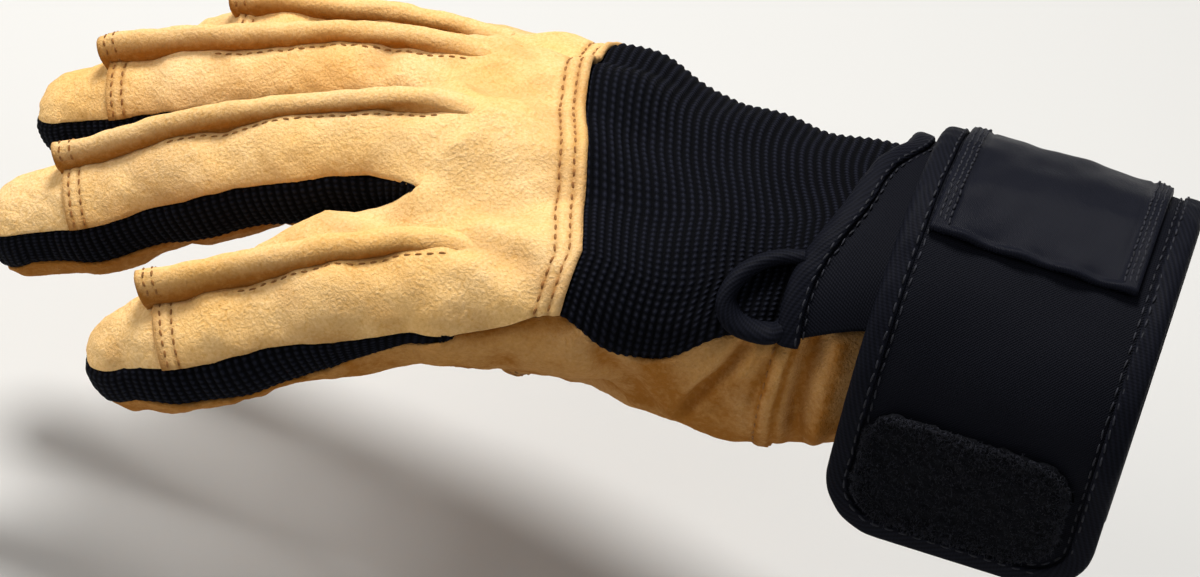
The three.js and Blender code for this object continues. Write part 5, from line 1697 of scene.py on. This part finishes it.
def strap_run(inset, count):
    """The strap's edge line, inset by some millimetres: along the far edge, round the free end, back."""
    c, total = STRAP["corner"], WRAP.total
    r = c - inset
    a = np.linspace(0, total - c, count)
    w = np.radians(np.linspace(0, 90, 26))[1:]
    left, right = STRAP["left"] + inset, STRAP["right"] - inset
    u = [a, total - c + r * np.sin(w), total - c + r * np.sin(w[::-1]), a[::-1]]
    x = [np.full(count, left), left + r - r * np.cos(w), right - r + r * np.cos(w[::-1]),
         np.full(count, right)]
    du = [np.zeros(count), -np.sin(w), -np.sin(w[::-1]), np.zeros(count)]
    dx = [np.ones(count), np.cos(w), -np.cos(w[::-1]), -np.ones(count)]
    return (np.concatenate(v) for v in (u, x, du, dx))


# The strap's cloth stands this far inside its tape's edge, and its wall
STRAP_INSET = 1.1
STRAP_WALL = 2.2
# Upper half of the tape's cross-section: place inwards from the edge, height over the strap's middle
STRAP_TAPE = [[4.5, 1.2], [4.5, 1.75], [3.2, 2.05], [1.5, 2.0], [0.4, 1.55], [-0.15, 0.8]]
# Stitch rows round the strap: place inwards from the edge, height over the strap's middle
STRAP_ROWS = [(3.9, 1.98), (5.2, 1.2)]


def build_strap():
    """Outer strap with its bound edges: a twill sheet on the wrap, and a rounded tape carried round its
    edge."""
    total, inset = WRAP.total, STRAP_INSET
    grid, u, x = strap_grid(inset, total - inset, STRAP["left"] + inset, STRAP["right"] - inset,
                            STRAP["corner"] - inset, STRAP_WALL / 2, 250, 62)
    skin = strap_skin(grid, u, x)
    strap = make_wall("strap_cloth", skin, STRAP_WALL, finish("twill"), ["wrist_strap"], 0.2)
    u, x, du, dx = strap_run(0, 230)
    prof = rounded(STRAP_TAPE + [[-0.25, 0.0]] + [[a, -h] for a, h in STRAP_TAPE[::-1]], 26)
    base = WRAP.point(u, x, strap_wave(u, x))
    inward = np.stack([dx, 0 * dx, 0 * dx], -1) + WRAP.forward(u) * du[:, None]
    out = WRAP.normal(u)
    rings = base[:, None] + inward[:, None] * prof[None, :, :1] + out[:, None] * prof[None, :, 1:]
    points, faces, uv = tube_shell(rings)
    points = points + swell(points, (0.12, 6, 93))[:, None] * unit(points * [0, 1, 1])
    make_piece("strap_tape", points, faces, finish("tape"), ["strap_binding"], uv)
    for mm, h in STRAP_ROWS:
        u, x, _, _ = strap_run(mm, 230)
        line = WRAP.point(u, x, strap_wave(u, x) + h)
        stitch("straps", line, WRAP.normal(u), pitch=2.9, length=2.1, radius=0.24)


# Patches on the strap: near and far edge before the strap's free end, left and right edge along X
LABEL = {"near": 118, "far": 67, "left": -48.6, "right": -6.8}
PILE = {"near": 31, "far": 5.6, "left": -48.4, "right": -7.0}
PATCH_WALL = 1.3
LABEL_LEVEL = 2.45
PILE_LEVEL = 2.3
# The label's sewn border: its width, its height, and the heights and pitch of its slanting ribs
BORDER = 3.6
BORDER_HEIGHT = 0.42
BORDER_RIB = 0.08
BORDER_PITCH = 1.1
BORDER_ROWS = (1.0, 2.1, 3.1)
# The label's loose edge curls up by this much over this length
CURL = 0.9
CURL_LENGTH = 9
# Hairs of the pile: how many, their thickness, and the turns of their three corners in radians
HAIRS = 7000
HAIR_RADIUS = 0.06
HAIR_CORNERS = (0, 2.094, 4.189)
# Faces of a hair: corners 0 to 2 at its root, 3 to 5 in the middle, 6 at the tip
HAIR_FACES = [[0, 1, 4], [0, 4, 3], [1, 2, 5], [1, 5, 4], [2, 0, 3], [2, 3, 5], [3, 4, 6], [4, 5, 6],
              [5, 3, 6], [0, 2, 1]]


def patch_sides(patch):
    """Lengths along the wrap and places across it of a patch's four sides."""
    return WRAP.total - patch["near"], WRAP.total - patch["far"], patch["left"], patch["right"]


def label_curl(u, x):
    """Height of the label's loose edge: the square of the way to it, uneven across, with small waves."""
    far = np.clip((u - (WRAP.total - LABEL["far"] - CURL_LENGTH)) / CURL_LENGTH, 0, 1)
    small = swell(np.stack([u, x, u * 0], -1), (0.12, 9, 94))
    return CURL * far ** 2 * (0.6 + 0.5 * np.sin(x * 0.55)) + small


def build_label():
    """Bare label patch: a raised border with slanting ribs and rows of stitches, and one curled edge."""
    u0, u1, x0, x1 = patch_sides(LABEL)
    grid, u, x = strap_grid(u0, u1, x0, x1, 0, LABEL_LEVEL, 74, 62, lift=label_curl)
    border = np.minimum(np.minimum(x - x0, x1 - x), (u1 - u) + 2.2)
    skin = strap_skin(grid, u, x, border=border)
    border = skin.field["border"]
    step = np.clip((BORDER - border) / 0.5, 0, 1)
    ribs = BORDER_RIB * np.sin(skin.uv.sum(1) * 2 * np.pi / BORDER_PITCH) * step
    height = BORDER_HEIGHT * step + ribs - 0.25 * bell(border, 3.9, 0.35)
    skin.push(height)
    skin.field = {}
    wall = PATCH_WALL + height
    label = make_wall("label_cloth", skin, wall, finish("satin"), ["label_patch"], 0.25)
    u = np.linspace(u0 + 1, u1 - 1, 90)
    for mm in BORDER_ROWS:
        for edge in (x0 + mm, x1 - mm):
            line = WRAP.point(u, edge, strap_wave(u, edge) + label_curl(u, np.full(90, edge)) + 2.92)
            stitch("label", line, WRAP.normal(u), pitch=1.9, length=1.7, radius=0.24, start=0.2 + 0.3 * mm)


def build_pile():
    """Pile patch with uneven loops, and its hairs: bent three-sided spikes, thicker along the edges."""
    u0, u1, x0, x1 = patch_sides(PILE)
    grid, u, x = strap_grid(u0, u1, x0, x1, 9, PILE_LEVEL, 60, 84, 6)
    skin = strap_skin(grid, u, x)
    skin.push(swell(skin.points, (0.22, 3.2, 95), (0.14, 1.5, 96)) + 0.25)
    pile = make_wall("pile_cloth", skin, PATCH_WALL, finish("pile"), ["pile_patch"], 0.25)
    rng = np.random.default_rng(7)
    n = HAIRS
    rim = np.minimum(np.minimum(u - u0, u1 - u), np.minimum(x - x0, x1 - x)).ravel()
    chance = 0.25 + 2.2 * np.exp(-rim / 1.2)
    spots = rng.choice(rim.size, n, p=chance / chance.sum())
    pick = skin.index[0].ravel()[spots]
    root = skin.points[pick] + rng.normal(0, 0.2, (n, 3))
    lean = unit(skin.normals()[pick] + rng.normal(0, 0.75, (n, 3)))
    side = unit(np.cross(lean, rng.normal(0, 1, (n, 3))))
    other = np.cross(lean, side)
    half = lean * rng.uniform(0.5, 1.5, n)[:, None] * 0.5
    bend = unit(lean + rng.normal(0, 0.9, (n, 3)))
    corners = [HAIR_RADIUS * (side * np.cos(a) + other * np.sin(a)) for a in HAIR_CORNERS]
    tip = root + half + bend * np.linalg.norm(half, axis=1)[:, None]
    rows = [root + c for c in corners] + [root + half + c for c in corners] + [tip]
    verts = np.stack(rows, 1).reshape(-1, 3)
    faces = (np.arange(n)[:, None, None] * len(rows) + np.array(HAIR_FACES)[None]).reshape(-1, 3)
    make_piece("pile_hairs", verts, faces, finish("hair"))


def build_patches():
    """Bare label patch and pile patch on the strap's outer face, and the hairs of the pile."""
    build_label()
    build_pile()


# Stage

# Half of the floor's side, metres
FLOOR_HALF = 4.0
# Soft discs of light: place and aim in metres, diameter, power, colour
LAMPS = {
    "key": ((-0.3, 0.3, 0.9), (-0.13, -0.01, 0), 0.3, 11.2, (1.0, 0.98, 0.95)),
    "left": ((-0.95, -0.3, 0.6), (-0.15, -0.01, 0), 0.5, 3.3, (1.0, 0.96, 0.9)),
    "right": ((0.75, -0.3, 0.6), (-0.05, 0, 0), 0.5, 1.3, (0.92, 0.96, 1.0)),
}
ROOM_COLOUR = (1.0, 0.99, 0.975, 1)
ROOM_STRENGTH = 0.22
# The photograph's camera: turn from the thumb's side, height angle and roll in degrees, distance in
# millimetres and lens in pixels, for a picture of this size with the centre of the cuff at this pixel
CAMERA_TURN = (10.0, 40.0, 11.5)
CAMERA_DISTANCE = 850.0
LENS_PIXELS = 4250.0
PHOTO_SIZE = (1200, 577)
CUFF_PIXEL = (1150, 372)
SENSOR = 36.0


def build_floor():
    """Pale floor below the held glove, and an even room."""
    look = bpy.context.scene.glove_look
    z = CAD_BOX[0].z - look.floor_drop
    r = FLOOR_HALF
    mesh = bpy.data.meshes.new("floor")
    mesh.from_pydata([(-r, -r, z), (r, -r, z), (r, r, z), (-r, r, z)], [], [(0, 1, 2, 3)])
    mesh.materials.append(finish("floor"))
    add_object("floor", mesh)
    world = bpy.data.worlds.new("studio")
    bpy.context.scene.world = world
    world.use_nodes = True
    back = world.node_tree.nodes["Background"]
    back.inputs["Color"].default_value = ROOM_COLOUR
    back.inputs["Strength"].default_value = ROOM_STRENGTH


def build_lamps():
    """Soft discs of light, each turned towards its aim."""
    for name, (place, aim, size, power, colour) in LAMPS.items():
        data = bpy.data.lights.new(name, "AREA")
        data.shape, data.size, data.energy, data.color = "DISK", size, power, colour
        lamp = add_object(name, data)
        lamp.location = place
        lamp.rotation_mode = "QUATERNION"
        lamp.rotation_quaternion = (Vector(aim) - Vector(place)).to_track_quat("-Z", "Y")


def build_camera():
    """Camera at the photograph's angle: its axes come from the turn, the height angle and the roll, and it
    stands where the centre of the cuff falls on its pixel."""
    turn, rise, roll = np.radians(CAMERA_TURN)
    ahead = np.array([-np.sin(turn) * np.cos(rise), np.cos(turn) * np.cos(rise), -np.sin(rise)])
    level = np.array([np.cos(turn), np.sin(turn), 0.0])
    over = np.cross(level, ahead)
    right = level * np.cos(roll) + over * np.sin(roll)
    up = over * np.cos(roll) - level * np.sin(roll)
    dx = (CUFF_PIXEL[0] - PHOTO_SIZE[0] / 2) / LENS_PIXELS
    dy = (PHOTO_SIZE[1] / 2 - CUFF_PIXEL[1]) / LENS_PIXELS
    place = -(ahead + right * dx + up * dy) * CAMERA_DISTANCE * MM
    data = bpy.data.cameras.new("camera")
    data.sensor_width = SENSOR
    data.lens = LENS_PIXELS / PHOTO_SIZE[0] * SENSOR
    data.clip_start, data.clip_end = 0.01, 20
    camera = add_object("camera", data)
    columns = np.stack([right, up, -ahead, place], 1)
    camera.matrix_world = Matrix([*columns.tolist(), [0, 0, 0, 1]])
    bpy.context.scene.camera = camera


def build_stage():
    """Floor, room, lights and camera."""
    bpy.context.scene.view_settings.view_transform = "Standard"
    build_floor()
    build_lamps()
    build_camera()


# Add-on

class GloveLook(bpy.types.PropertyGroup):
    """Sizes and colours that a user may change."""
    suede: bpy.props.FloatVectorProperty(
        name="Suede", description="Colour of the suede",
        subtype="COLOR", size=3, min=0, max=1, default=(0.87, 0.565, 0.245))
    # Painted shade colour: the suede is darkened towards it where shade falls, in creases, grooves, folds,
    # undersides and near sides
    crease: bpy.props.FloatVectorProperty(
        name="Crease", description="Colour of the suede in its creases",
        subtype="COLOR", size=3, min=0, max=1, default=(0.36, 0.14, 0.022))
    black: bpy.props.FloatVectorProperty(
        name="Black", description="Darkest colour of knit and straps",
        subtype="COLOR", size=3, min=0, max=1, default=(0.0016, 0.0018, 0.0028))
    black_light: bpy.props.FloatVectorProperty(
        name="Black, lit", description="Lightest colour of knit and straps",
        subtype="COLOR", size=3, min=0, max=1, default=(0.0068, 0.0076, 0.0128))
    floor: bpy.props.FloatVectorProperty(
        name="Floor", description="Colour of the floor",
        subtype="COLOR", size=3, min=0, max=1, default=(0.66, 0.66, 0.65))
    rib_pitch: bpy.props.FloatProperty(
        name="Rib pitch", description="Rib to rib on the knit back",
        unit="LENGTH", default=0.00165, min=0.0005)
    side_rib_pitch: bpy.props.FloatProperty(
        name="Side rib pitch", description="Rib to rib on the finger sides",
        unit="LENGTH", default=0.00175, min=0.0005)
    floor_drop: bpy.props.FloatProperty(
        name="Floor drop", description="Floor below the glove's lowest point",
        unit="LENGTH", default=0.06, min=0)


# Groups of stitches and their finish
THREAD_GROUPS = {"hem": "ochre_thread", "caps": "ochre_thread", "feet": "ochre_thread",
                 "thumb": "ochre_thread", "palm": "ochre_thread", "label": "black_thread",
                 "straps": "black_thread"}


def build_thread():
    """Stitches of every group as one piece each."""
    for group, kind in THREAD_GROUPS.items():
        thread_piece("thread_" + group, group, finish(kind))


class GLOVE_OT_stage(bpy.types.Operator):
    """Floor, room, lights and camera"""
    bl_idname = "glove.stage"
    bl_label = "Stage"

    def execute(self, context):
        build_stage()
        return {"FINISHED"}


class GLOVE_OT_leather_back(bpy.types.Operator):
    """Knuckle panel and finger tongues"""
    bl_idname = "glove.leather_back"
    bl_label = "Leather back"

    def execute(self, context):
        build_leather_back()
        return {"FINISHED"}


class GLOVE_OT_caps(bpy.types.Operator):
    """Four fingertip caps"""
    bl_idname = "glove.caps"
    bl_label = "Finger caps"

    def execute(self, context):
        build_caps()
        return {"FINISHED"}


class GLOVE_OT_ridges(bpy.types.Operator):
    """Pinched ridges along the fingers"""
    bl_idname = "glove.ridges"
    bl_label = "Ridges"

    def execute(self, context):
        build_ridges()
        return {"FINISHED"}


class GLOVE_OT_knit_sides(bpy.types.Operator):
    """Knit walls of the fingers"""
    bl_idname = "glove.knit_sides"
    bl_label = "Knit sides"

    def execute(self, context):
        build_knit_sides()
        return {"FINISHED"}


class GLOVE_OT_palm(bpy.types.Operator):
    """Leather palm"""
    bl_idname = "glove.palm"
    bl_label = "Palm"

    def execute(self, context):
        build_palm()
        return {"FINISHED"}


class GLOVE_OT_knit_back(bpy.types.Operator):
    """Knit back of the hand"""
    bl_idname = "glove.knit_back"
    bl_label = "Knit back"

    def execute(self, context):
        build_knit_back()
        return {"FINISHED"}


class GLOVE_OT_thumb(bpy.types.Operator):
    """Thumb and its cap"""
    bl_idname = "glove.thumb"
    bl_label = "Thumb"

    def execute(self, context):
        build_thumb()
        return {"FINISHED"}


class GLOVE_OT_band(bpy.types.Operator):
    """Inner wrist band, its binding and its loop"""
    bl_idname = "glove.band"
    bl_label = "Wrist band"

    def execute(self, context):
        build_band()
        return {"FINISHED"}


class GLOVE_OT_strap(bpy.types.Operator):
    """Outer strap and its binding"""
    bl_idname = "glove.strap"
    bl_label = "Strap"

    def execute(self, context):
        build_strap()
        return {"FINISHED"}


class GLOVE_OT_patches(bpy.types.Operator):
    """Bare label patch and pile patch"""
    bl_idname = "glove.patches"
    bl_label = "Patches"

    def execute(self, context):
        build_patches()
        return {"FINISHED"}


class GLOVE_OT_thread(bpy.types.Operator):
    """Stitches of every group"""
    bl_idname = "glove.thread"
    bl_label = "Thread"

    def execute(self, context):
        build_thread()
        return {"FINISHED"}


# The order in which the pieces are made
OPERATORS = [
    GLOVE_OT_stage, GLOVE_OT_leather_back, GLOVE_OT_caps, GLOVE_OT_ridges, GLOVE_OT_knit_sides,
    GLOVE_OT_palm, GLOVE_OT_knit_back, GLOVE_OT_thumb, GLOVE_OT_band, GLOVE_OT_strap, GLOVE_OT_patches,
    GLOVE_OT_thread,
]


class GLOVE_PT_panel(bpy.types.Panel):
    """Sizes, colours and the pieces in the order in which they are made."""
    bl_label = "Glove"
    bl_idname = "GLOVE_PT_panel"
    bl_space_type = "VIEW_3D"
    bl_region_type = "UI"
    bl_category = "Glove"

    def draw(self, context):
        look = context.scene.glove_look
        for key in GloveLook.__annotations__:
            self.layout.prop(look, key)
        for o in OPERATORS:
            self.layout.operator(o.bl_idname)


def register():
    """Register the classes and hang the settings on the scene."""
    for c in [GloveLook, *OPERATORS, GLOVE_PT_panel]:
        bpy.utils.register_class(c)
    bpy.types.Scene.glove_look = bpy.props.PointerProperty(type=GloveLook)


def unregister():
    """Undo register."""
    del bpy.types.Scene.glove_look
    for c in [GLOVE_PT_panel, *OPERATORS[::-1], GloveLook]:
        bpy.utils.unregister_class(c)


def main():
    """Build every piece in order."""
    register()
    for o in OPERATORS:
        getattr(bpy.ops.glove, o.bl_idname.split(".")[1])()


if __name__ == "__main__":
    main()
